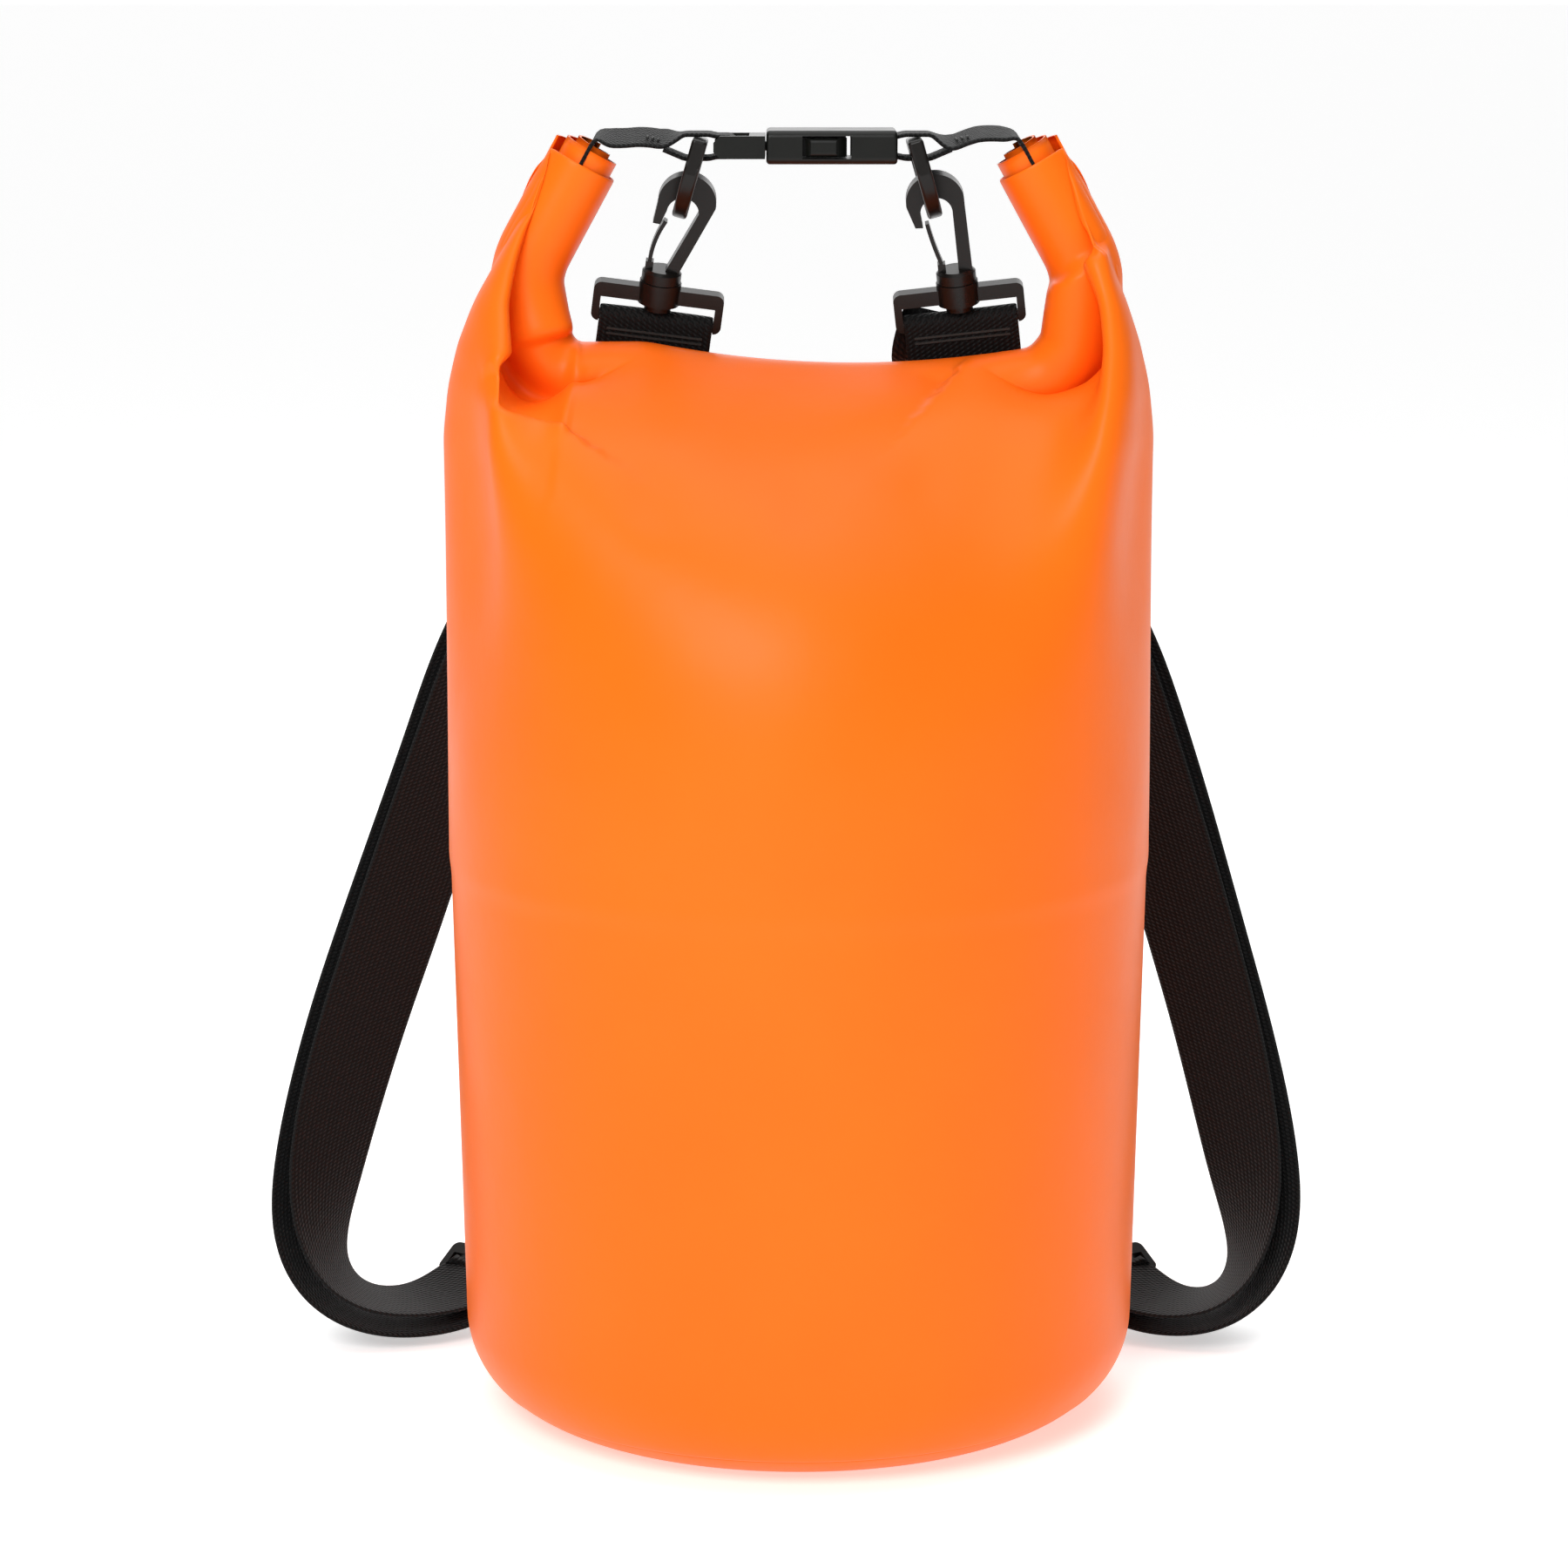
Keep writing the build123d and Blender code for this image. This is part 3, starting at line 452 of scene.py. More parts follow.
def round_rows(profile):
    """Round rows of points, one for each (radius, height)."""
    phi = -math.pi + 2 * math.pi * np.arange(COLUMNS) / COLUMNS
    ring = np.stack([np.cos(phi), np.sin(phi)], 1)
    return np.array([np.concatenate([ring * r, np.full((COLUMNS, 1), z)], 1) for r, z in profile])


def contact_angles(s, front):
    """Where on the roll the tube's front or back layer first touches it."""
    edge = np.minimum(s, PATH_LENGTH - s)
    ear = 1 - smoothstep(edge, *EAR_FADE)
    ahead = FRONT_ANGLE - EAR_TURN * ear
    behind = ahead - (ahead - BACK_ANGLE) * smoothstep(edge, WRAP_INSET, BACK_FADE)
    return np.where(front, ahead, behind), ear


def start_shape():
    """The free rows before the cloth is let go, and the fixed shape above and below."""
    j = np.arange(COLUMNS)
    phi = -math.pi + 2 * math.pi * j / COLUMNS
    front = j <= HALF
    s = column_lengths()
    theta, ear = contact_angles(s, front)
    top = roll_point(s, theta, WRAP_SCALE)
    _, tangent, normal = path_at(s)
    up_ear = tangent * np.where(s < PATH_LENGTH / 2, -1.0, 1.0)[:, None]
    turn = np.radians(theta)
    ahead = np.array([0.0, -1.0, 0.0])
    around = unit(
        -ahead * (ROLL_DEPTH * np.sin(turn))[:, None]
        + normal * (ROLL_HEIGHT * np.cos(turn))[:, None]
    )
    around = np.where(front[:, None], around, np.array([0.0, -0.9, 0.35]))
    into = unit(around * (1 - ear)[:, None] + up_ear * ear[:, None])
    low = np.stack([np.cos(phi), np.sin(phi), np.zeros(COLUMNS)], 1)
    radius = lower_rows()[-1][0]
    start = low * radius + np.array([0, 0, FIXED_TOP])
    t = np.linspace(0, 1, FREE_ROWS + 1)[1:, None, None]
    rise, bulge = 132 + 26 * ear, 4 + 8 * ear
    b1 = start + np.array([0, 0, 1.0]) * rise[:, None] + low * bulge[:, None]
    lead, flare = 75 - 30 * ear, 14 * ear
    b2 = top - into * lead[:, None] + low * np.array([1.0, 0.3, 0]) * flare[:, None]
    rows = (1 - t) ** 3 * start + 3 * (1 - t) ** 2 * t * b1 + 3 * (1 - t) * t**2 * b2 + t**3 * top
    return rows


def even_rows(rows, start):
    """Spaces each column's rows evenly."""
    full = np.concatenate([start[None], rows], 0)
    out = np.empty_like(rows)
    for j in range(full.shape[1]):
        line = full[:, j]
        length = np.concatenate([[0], np.cumsum(np.linalg.norm(np.diff(line, axis=0), axis=1))])
        at = np.linspace(0, length[-1], len(full))[1:]
        for k in range(3):
            out[:, j, k] = np.interp(at, length, line[:, k])
    return out


class Cloth:
    """Position-based cloth on a closed grid of rows and columns."""

    def __init__(self, points, free):
        self.rows, self.columns = points.shape[:2]
        self.p = points.reshape(-1, 3).copy()
        self.w = free.reshape(-1).astype(float)
        self.sets = []

    def index(self, i, j):
        return i * self.columns + (j % self.columns)

    def link(self, di, dj, rest, push, pull, colours):
        """Distance constraints between (i, j) and (i + di, j + dj), in independent groups."""
        i, j = np.meshgrid(np.arange(self.rows - di), np.arange(self.columns), indexing="ij")
        a, b = self.index(i, j).ravel(), self.index(i + di, j + dj).ravel()
        keep = (self.w[a] + self.w[b]) > 0
        key = ((i // max(di, 1)) % 2 if di else (j // max(abs(dj), 1)) % 2).ravel()
        rest = np.broadcast_to(rest, i.shape).ravel()
        for c in range(colours):
            m = keep & (key == c)
            self.sets.append((a[m], b[m], rest[m], push, pull))

    def step(self):
        for a, b, rest, push, pull in self.sets:
            d = self.p[b] - self.p[a]
            length = np.sqrt(np.einsum("ij,ij->i", d, d)) + 1e-9
            gain = np.where(length > rest, pull, push)
            wa, wb = self.w[a], self.w[b]
            c = (gain * (length - rest) / (length * (wa + wb)))[:, None] * d
            self.p[a] += wa[:, None] * c
            self.p[b] -= wb[:, None] * c

    def normals(self):
        g = self.p.reshape(self.rows, self.columns, 3)
        du = np.roll(g, -1, 1) - np.roll(g, 1, 1)
        dv = np.gradient(g, axis=0)
        return unit(np.cross(du, dv)).reshape(-1, 3)


def push_off_roll(cloth, near, margin):
    """Keeps the free cloth outside the roll."""
    p = cloth.p
    base = PATH[near]
    rel = p[:, [0, 2]] - base
    n = np.sum(rel * PATH_N[near], 1)
    t = np.sum(rel * PATH_T[near], 1)
    y = p[:, 1]
    k = np.sqrt((y / ROLL_DEPTH) ** 2 + (n / ROLL_HEIGHT) ** 2) + 1e-9
    inside = (k < margin) & (np.abs(t) < 4) & (cloth.w > 0)
    scale = margin / k[inside]
    new_n = n[inside] * scale
    p[inside, 1] = y[inside] * scale
    move = (new_n - n[inside])[:, None] * PATH_N[near][inside]
    p[inside, 0] += move[:, 0]
    p[inside, 2] += move[:, 1]


def nearest_path(p):
    d = (p[:, None, 0] - PATH[None, :, 0]) ** 2 + (p[:, None, 2] - PATH[None, :, 1]) ** 2
    return np.argmin(d, 1)


# creases in the tarpaulin: point pulled towards (mm), reach (mm) and weight
HANDLES = [
    ((-97.0, -60.0, 358.0), 9.0, 0.5),
    ((-86.0, -58.0, 352.0), 8.0, 0.5),
    ((-75.5, -93.0, 340.0), 9.0, 0.35),
    ((-74.0, -60.0, 362.0), 8.0, 0.5),
    ((89.0, -60.0, 352.0), 9.0, 0.4),
    ((95.0, -22.0, 390.0), 8.0, 0.3),
]


def settle(rows, steps):
    """Lets the free rows find the shape of a tube that can bend but not stretch."""
    full = np.concatenate([round_rows(lower_rows()[-3:]), rows], 0)
    free = np.ones(full.shape[:2])
    free[:3] = 0
    free[-1] = 0
    cloth = Cloth(full, free)
    vertical = np.linalg.norm(full[1:] - full[:-1], axis=2)
    per_column = vertical[3:].mean(0)
    wrapped = np.concatenate([per_column[-6:], per_column, per_column[:6]])
    vertical[3:] = np.convolve(wrapped, np.ones(13) / 13, "valid") * SLACK
    around = 2 * math.pi * BODY_R / COLUMNS
    wide = np.full(full.shape[:2], around)
    cloth.link(1, 0, vertical, 0.5, 1.0, 2)
    cloth.link(0, 1, wide, 0.35, 1.0, 2)
    slant = np.sqrt(vertical**2 + around**2)
    cloth.link(1, 1, slant, 0.12, 0.25, 2)
    cloth.link(1, -1, slant, 0.12, 0.25, 2)
    cloth.link(2, 0, vertical[:-1] + vertical[1:], 0.30, 0.0, 2)
    cloth.link(0, 2, wide * 2, 0.30, 0.0, 2)
    cloth.link(4, 0, (vertical[:-1] + vertical[1:])[:-2] * 2, 0.10, 0.0, 2)
    cloth.link(0, 4, wide * 4, 0.10, 0.0, 2)
    moving = cloth.w[:, None]
    last = cloth.p.copy()
    near = nearest_path(cloth.p)
    for step in range(steps):
        speed = (cloth.p - last) * KEPT_SPEED
        last = cloth.p.copy()
        cloth.p += moving * (speed + cloth.normals() * PRESSURE - np.array([0, 0, WEIGHT]))
        for target, reach, weight in HANDLES:
            gap = np.array(target) - cloth.p
            distance = np.sum(gap**2, 1)
            nearest = int(np.argmin(distance))
            around_it = np.exp(-np.sum((cloth.p - cloth.p[nearest]) ** 2, 1) / reach**2)
            cloth.p += moving * around_it[:, None] * gap[nearest] * weight * HANDLE_GAIN
        cloth.step()
        if step % 20 == 0:
            near = nearest_path(cloth.p)
        push_off_roll(cloth, near, 1.04)
    return cloth.p.reshape(full.shape)[3:]


# half-widths of the bag's silhouette (mm) at heights (mm), left and right
SIDE_Z = [185.0, 333.0, 349.0, 362.0, 377.0, 400.0, 419.0, 430.0]
SIDE_LEFT = [117.6, 118.0, 116.2, 113.0, 107.0, 94.0, 80.0, 77.0]
SIDE_RIGHT = [117.6, 118.0, 116.2, 113.0, 108.0, 97.5, 86.0, 82.0]


def fit_sides(rows):
    """Draws the sides in to the bag's silhouette, and the lower free rows to its cylinder."""
    out = rows.copy()
    heights = np.arange(185.0, 431.0, 3.0)
    for sign, half in ((-1, SIDE_LEFT), (1, SIDE_RIGHT)):
        reach = rows[..., 0] * sign
        now = []
        for z in heights:
            near = np.abs(rows[..., 2] - z) < 4.5
            now.append(reach[near].max() if near.any() else np.nan)
        now = np.array(now)
        good = ~np.isnan(now)
        now = np.interp(heights, heights[good], now[good])
        now = np.convolve(np.pad(now, 3, mode="edge"), np.ones(7) / 7, "valid")
        factor = np.interp(heights, SIDE_Z, half) / now
        scale = np.interp(rows[..., 2], heights, factor)
        weight = smoothstep(reach, 30, 95)
        out[..., 0] = np.where(reach > 0, rows[..., 0] * (1 + (scale - 1) * weight), out[..., 0])
    radius = np.linalg.norm(out[..., :2], axis=-1)
    hold = 1 - smoothstep(out[..., 2], 200, 335)
    factor = 1 + hold * (BODY_R / radius - 1)
    out[..., :2] *= factor[..., None]
    return clear_of_roll(out, 1.035)


def clear_of_roll(grid, margin):
    """Moves points that are inside the roll out to its surface."""
    p = grid.reshape(-1, 3).copy()
    near = nearest_path(p)
    rel = p[:, [0, 2]] - PATH[near]
    n = np.sum(rel * PATH_N[near], 1)
    y = p[:, 1]
    k = np.sqrt((y / ROLL_DEPTH) ** 2 + (n / ROLL_HEIGHT) ** 2) + 1e-9
    inside = k < margin
    gain = np.where(inside, margin / k, 1.0)
    p[:, 1] = y * gain
    p[:, [0, 2]] += ((gain - 1) * n)[:, None] * PATH_N[near]
    return p.reshape(grid.shape)


def calmed(rows, passes):
    """Takes the slack ripples out of the middle of the panels, keeping their edges."""
    j = np.arange(COLUMNS)
    from_middle = np.abs((j % HALF) - HALF / 2)
    weight = 1 - 0.8 * smoothstep(from_middle, 18, 27)
    amount = (0.5 * weight)[None, :, None]
    out = rows.copy()
    for _ in range(passes):
        mean = (np.roll(out, 1, 1) + np.roll(out, -1, 1))[1:-1] + out[:-2] + out[2:]
        out[1:-1] += amount * (mean / 4 - out[1:-1])
    return out


def refined(grid):
    """The grid with a row and a column added between each pair, on smooth curves."""
    rolled = [np.roll(grid, k, axis=1) for k in (1, 0, -1, -2)]
    middle = (9 * (rolled[1] + rolled[2]) - rolled[0] - rolled[3]) / 16
    wide = np.stack([grid, middle], 2).reshape(grid.shape[0], -1, 3)
    padded = np.concatenate([2 * wide[:1] - wide[1:2], wide, 2 * wide[-1:] - wide[-2:-1]], 0)
    between = (9 * (padded[1:-2] + padded[2:-1]) - padded[:-3] - padded[3:]) / 16
    out = np.empty((2 * len(wide) - 1, wide.shape[1], 3))
    out[::2] = wide
    out[1::2] = between
    return out


# folds in the front: line (x, z in mm), height and reach to its left, to its right, and edge width
CREASES = [
    ([(-99, 357), (-86, 363.5), (-73, 366)], (4.0, 12.0), (-4.0, 8.0), 1.2),
    ([(-73.5, 367), (-72, 352), (-75.5, 337)], (3.0, 10.0), (5.0, 5.0), 0.8),
    ([(-112, 352), (-95, 346), (-75.5, 337)], (-3.0, 8.0), (2.5, 16.0), 1.2),
    ([(56, 357), (75, 374), (95, 391)], (-3.5, 12.0), (5.0, 20.0), 1.2),
    ([(56, 357), (72, 353), (89, 351)], (-1.5, 6.0), (-1.5, 9.0), 1.0),
    ([(89, 351), (97, 370), (95, 391)], (2.0, 8.0), (2.0, 8.0), 1.2),
]
# soft hollows: centre (x, z), depth and radius, all in mm
DIMPLES = [
    ((-86.0, 354.0), 7.0, 7.0),
    ((-47.0, 318.0), 1.6, 10.0),
    ((1.0, 317.0), 1.4, 9.0),
    ((40.0, 322.0), 0.8, 10.0),
]


def crease_heights(flat, line, left, right, edge):
    """How far a fold lifts points (x, z) that lie beside a line."""
    line = np.asarray(line, float)
    best = np.full(flat.shape[:-1], 1e9)
    signed = np.zeros_like(best)
    for a, b in zip(line[:-1], line[1:]):
        along = b - a
        t = np.clip((flat - a) @ along / (along @ along), 0, 1)
        gap = flat - (a + t[..., None] * along)
        distance = np.linalg.norm(gap, axis=-1)
        side = along[0] * gap[..., 1] - along[1] * gap[..., 0]
        nearer = distance < best
        signed = np.where(nearer, np.sign(side) * distance, signed)
        best = np.minimum(best, distance)
    lift = [h * np.exp(-((best / r) ** 1.3)) for h, r in (left, right)]
    share = smoothstep(signed, -edge, edge)
    return lift[0] * share + lift[1] * (1 - share)


def add_folds(sheet):
    """Presses the front's folds and hollows into the front panel and its wrap."""
    across = np.gradient(sheet, axis=1)
    upward = np.gradient(sheet, axis=0)
    outward = unit(np.cross(across, upward))
    flat = sheet[..., [0, 2]]
    height = np.zeros(sheet.shape[:2])
    for line, left, right, edge in CREASES:
        height += crease_heights(flat, line, left, right, edge)
    for centre, depth, radius in DIMPLES:
        away = np.linalg.norm(flat - np.array(centre), axis=-1)
        height -= depth * np.exp(-((away / radius) ** 2))
    facing = smoothstep(-sheet[..., 1], 1, 13) * smoothstep(sheet[..., 2], 285, 305)
    facing *= 1 - smoothstep(np.abs(sheet[..., 0]), 88, 106)
    return clear_of_roll(sheet + outward * (height * facing)[..., None], 1.0)


def build_shell():
    """The whole orange tube: lower rows, settled rows and the wrap over the roll."""
    fixed = round_rows(lower_rows())
    rows = even_rows(start_shape(), fixed[-1])
    rows = settle(rows, STEPS)
    rows = fit_sides(calmed(rows, CALMING_PASSES))
    tube = refined(np.concatenate([fixed, rows], 0))
    columns = 2 * COLUMNS
    s = column_lengths(columns)
    front = np.arange(columns) <= COLUMNS
    theta, _ = contact_angles(s, front)
    tube[-1] = roll_point(s, theta, WRAP_SCALE)
    over = []
    for k in range(1, WRAP_ROWS + 1):
        turn = theta[front] + (WRAP_END - theta[front]) * k / WRAP_ROWS
        over.append(roll_point(s[front], turn, WRAP_SCALE))
    sheet = add_folds(np.concatenate([tube[:, front], np.array(over)], 0))
    tube[:, front] = sheet[: len(tube)]
    over = sheet[len(tube) :]
    count = tube.shape[0] * columns
    verts = np.concatenate([tube.reshape(-1, 3), over.reshape(-1, 3)], 0) * MM
    faces = grid_faces(tube.shape[0], columns, closed=True)
    top = (tube.shape[0] - 1) * columns
    for a in range(COLUMNS):
        faces.append((top + a, top + a + 1, count + a + 1, count + a))
    faces += grid_faces(WRAP_ROWS, COLUMNS + 1, first=count)
    shell = make_object("tarpaulin_tube", verts, faces, ORANGE, "bag")
    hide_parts("body_wall", "rolled_top")
    solid = shell.modifiers.new("thickness", "SOLIDIFY")
    solid.thickness = 0.0007
    solid.offset = -1
    sub = shell.modifiers.new("smooth", "SUBSURF")
    sub.levels = sub.render_levels = 1


build_shell()


def build_base():
    """The base disc with its rounded rim and the welded lap just under the tube's edge."""
    profile = []
    middle = BASE_R - BASE_CORNER
    for r in np.linspace(0.5, middle, 14):
        profile.append((r, 0.0))
    for angle in np.linspace(270, SEAM_ANGLE + 2.2, 12)[1:]:
        a = math.radians(angle)
        inner = BASE_CORNER - LAP_GAP
        profile.append((middle + inner * math.cos(a), BASE_CORNER + inner * math.sin(a)))
    profile = np.array(profile)
    profile[:, 1] = np.maximum(profile[:, 1], 0)
    turn = np.arange(COLUMNS) * 2 * math.pi / COLUMNS
    verts = [(0, 0, 0)]
    for r, z in profile:
        verts += [(r * math.cos(a), r * math.sin(a), z) for a in turn]
    faces = [(0, 1 + (k + 1) % COLUMNS, 1 + k) for k in range(COLUMNS)]
    faces += [tuple(reversed(f)) for f in grid_faces(len(profile), COLUMNS, closed=True, first=1)]
    base = make_object("tarpaulin_base", np.array(verts) * MM, faces, ORANGE, "bag")
    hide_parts("base_panel")
    solid = base.modifiers.new("thickness", "SOLIDIFY")
    solid.thickness = 0.0008
    solid.offset = 1


build_base()


# --- the roll inside its outer wrap ------------------------------------------------------


def build_roll():
    """The wound mouth of the bag: a double layer of tarpaulin in a flattened spiral."""
    turns, count, start_angle = 2.35, 120, 215
    core_depth, core_height = 6.5, 3.6
    outer_depth, outer_height = ROLL_DEPTH * 0.955, ROLL_HEIGHT * 0.94
    thick, end_pull = 0.85, 4.0
    angle = np.linspace(0, turns * 360, count) - start_angle
    share = np.linspace(0, 1, count)
    depth = core_depth + (outer_depth - core_depth) * share
    height = core_height + (outer_height - core_height) * share
    a = np.radians(angle)
    line = np.stack([-np.cos(a) * depth, np.sin(a) * height], 1)
    tangent = unit(np.gradient(line, axis=0))
    outward = np.stack([tangent[:, 1], -tangent[:, 0]], 1)
    ring = np.concatenate([line + outward * thick / 2, (line - outward * thick / 2)[::-1]], 0)
    inner_first = np.concatenate([1 - share, (1 - share)[::-1]])
    stations = np.linspace(0, PATH_LENGTH, 130)
    verts = []
    for s in stations:
        edge = min(s, PATH_LENGTH - s)
        pull = (1 - inner_first) * end_pull * (1 - smoothstep(edge, 0, 14))
        at = s + (pull if s < PATH_LENGTH / 2 else -pull)
        point, _, normal = path_at(at)
        verts.append(point + np.array([0.0, 1.0, 0.0]) * ring[:, :1] + normal * ring[:, 1:])
    n, m = len(stations), len(ring)
    faces = grid_faces(n, m, closed=True)
    half = m // 2
    for i, flip in ((0, False), (n - 1, True)):
        base = i * m
        for k in range(half - 1):
            quad = (base + k, base + k + 1, base + m - 2 - k, base + m - 1 - k)
            faces.append(tuple(reversed(quad)) if flip else quad)
    verts = np.array(verts).reshape(-1, 3) * MM
    make_object("rolled_mouth", verts, faces, ORANGE, "bag")


build_roll()


def build_strip(label, offset):
    """A stiff strip in the hem, following the roll."""
    inset, strip_width, strip_thickness = 14, 20.0, 1.0
    s = np.linspace(inset, PATH_LENGTH - inset, 120)
    point, _, normal = path_at(s)
    across = np.tile([0.0, 1.0, 0.0], (len(s), 1))
    line = point + normal * offset
    verts, faces, _ = strip_mesh(line, across, strip_width, strip_thickness)
    strip = make_object(f"hem_strip_{label}", verts, faces, STRIP, "bag")
    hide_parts(f"stiffener_strip_{label}")


build_strip("front", -1.0)
build_strip("back", 1.0)


# --- closure webbing -----------------------------------------------------------------------


def build_closure(side):
    """Webbing from the core of an ear, round the D-ring and the buckle's bar, and back."""
    way = 1 if side == "left" else -1
    ring_x = {"left": -33.0, "right": 38.3}[side]
    tip = np.array([CLOSURE_X - way * EAR_TIP[0], EAR_TIP[1]])
    elbow = np.array([CLOSURE_X - way * EAR_ELBOW[0], EAR_ELBOW[1]])
    along = unit(tip - elbow)
    rise = 5.0 * 0.6 + 0.2 + WEB / 2
    buried_by, wave_height, wave_length = 18, 1.1, 5.5
    phase, lean = (0.4, 11.0) if side == "left" else (2.0, 8.0)
    if side == "left":
        turn_x, turn_rise, turn_radius = -24.0 + 2.1 + 0.2 + WEB / 2, 2.2 + 0.4 + WEB / 2, 2.4
    else:
        turn_x, turn_rise, turn_radius = 27.0 - 2.0 - 0.2 - WEB / 2, 2.0 + 0.2 + WEB / 2, 2.85
    buried, clear = tip - along * buried_by, tip + along * 3
    points = [
        buried,
        clear,
        (ring_x - way * 20, BUCKLE_Z + 2.6),
        (ring_x - way * 12, BUCKLE_Z + 0.9),
        (ring_x - way * 4.5, BUCKLE_Z + rise),
        (ring_x + way * 3.5, BUCKLE_Z + rise),
        (turn_x - way * 6, BUCKLE_Z + turn_rise),
        (turn_x, BUCKLE_Z + turn_rise),
        (turn_x, BUCKLE_Z - turn_rise),
        (turn_x - way * 6, BUCKLE_Z - turn_rise),
        (ring_x + way * 3.5, BUCKLE_Z - rise),
        (ring_x - way * 4.5, BUCKLE_Z - rise),
        (ring_x - way * 11.5, BUCKLE_Z - 0.95),
    ]
    radii = [3.0, 8.0, 6.0, 4.0, 4.0, 4.0, turn_radius, turn_radius, 4.0, 4.0, 4.0]
    flat = rounded([np.array(p, float) for p in points], radii, 1.0)
    line = np.stack([flat[:, 0], np.zeros(len(flat)), flat[:, 1]], 1)
    span = np.concatenate([[0], np.cumsum(np.linalg.norm(np.diff(line, axis=0), axis=1))])
    reach = float(np.linalg.norm(clear - tip) + buried_by + abs(ring_x - way * 8 - clear[0]))
    free = smoothstep(span, 16, 26) * (1 - smoothstep(span, reach - 4, reach + 4))
    line[:, 2] += free * wave_height * np.sin(span / wave_length + phase)
    tilt = free * math.radians(lean)
    across = np.stack([np.zeros(len(line)), np.cos(tilt), np.sin(tilt)], 1)
    webbing_piece(f"closure_strap_{side}", line, across, CLOSURE_WIDTH, "bag", f"closure_webbing_{side}")


# --- shoulder straps ------------------------------------------------------------------------

SIGN = {"left": 1.0, "right": -1.0}
SPREAD = {"left": 1.0, "right": 0.83}
UPPER_SWIVEL = {"left": (-46.0, 9.7, 381.5), "right": (52.5, 9.7, 381.5)}
LOWER_EYE = np.array([-94.0, 105.0, 36.0])
LOWER_BAR = np.array([-112.1, 77.7, 16.2])
BAR_MIDDLE = -13.85
LAYER_GAP = 7.0
# half the frame's bar, a running gap and half the webbing
FOLD_RADIUS = 2.0 + 0.2 + WEB / 2
# rise over the slider's bar: its middle, its radius, a running gap and half the webbing
SLIDER_RISE = 4.1 + 1.5 + 0.2 + WEB / 2
SLIDER_STATION = 6
STATIONS = [
    ((-49.6, 19.8, 357.0), 0),
    ((-51.2, 29.5, 350.5), 0),
    ((-54.5, 51.5, 343.0), 2),
    ((-59.5, 74.5, 333.5), 8),
    ((-66.5, 96.0, 321.0), 24),
    ((-74.0, 99.5, 301.0), 40),
    ((-91.0, 92.25, 275.5), 40),
    ((-108.0, 85.0, 250.0), 40),
    ((-125.5, 84.0, 200.0), 38),
    ((-143.0, 79.0, 150.0), 36),
    ((-157.5, 73.0, 108.0), 38),
    ((-167.5, 67.0, 70.0), 42),
    ((-171.0, 63.0, 43.0), 50),
    ((-168.0, 60.0, 26.5), 64),
    ((-159.5, 59.0, 16.5), 82),
    ((-147.0, 60.5, 12.0), 98),
    ((-131.0, 66.0, 12.0), 118),
]


def mirrored(point, side):
    return np.asarray(point, float) * np.array([SIGN[side], 1.0, 1.0])


def frame_axes(origin, up, across):
    """x, y and z of the plane whose y is up and whose x is as near to across as it can be."""
    up = unit(up)
    level = unit(across - up * (across @ up))
    return np.array(origin, float), level, up, np.cross(level, up)


def upper_frame(side):
    origin = np.array(UPPER_SWIVEL[side])
    return frame_axes(origin, origin - mirrored(LOWER_EYE, side), np.array([1.0, 0, 0]))


def lower_frame(side):
    up = unit(mirrored(LOWER_EYE, side) - mirrored(LOWER_BAR, side))
    origin = mirrored(LOWER_BAR, side) - up * BAR_MIDDLE
    return frame_axes(origin, up, np.cross(up, [0, 0, 1.0]) * SIGN[side])


def fold(axes, way):
    """Half a turn of webbing round a frame's bar, from one face of the frame to the other."""
    origin, _, up, out = axes
    bar = origin + up * BAR_MIDDLE
    turn = np.radians(np.linspace(0, 180, 15))[:, None]
    return bar + out * way * FOLD_RADIUS * np.cos(turn) + up * FOLD_RADIUS * np.sin(turn)


def spread_out(directions, count):
    """Directions read off evenly at count places."""
    at = np.linspace(0, 1, count)
    source = np.linspace(0, 1, len(directions))
    return unit(np.stack([np.interp(at, source, directions[:, k]) for k in range(3)], 1))


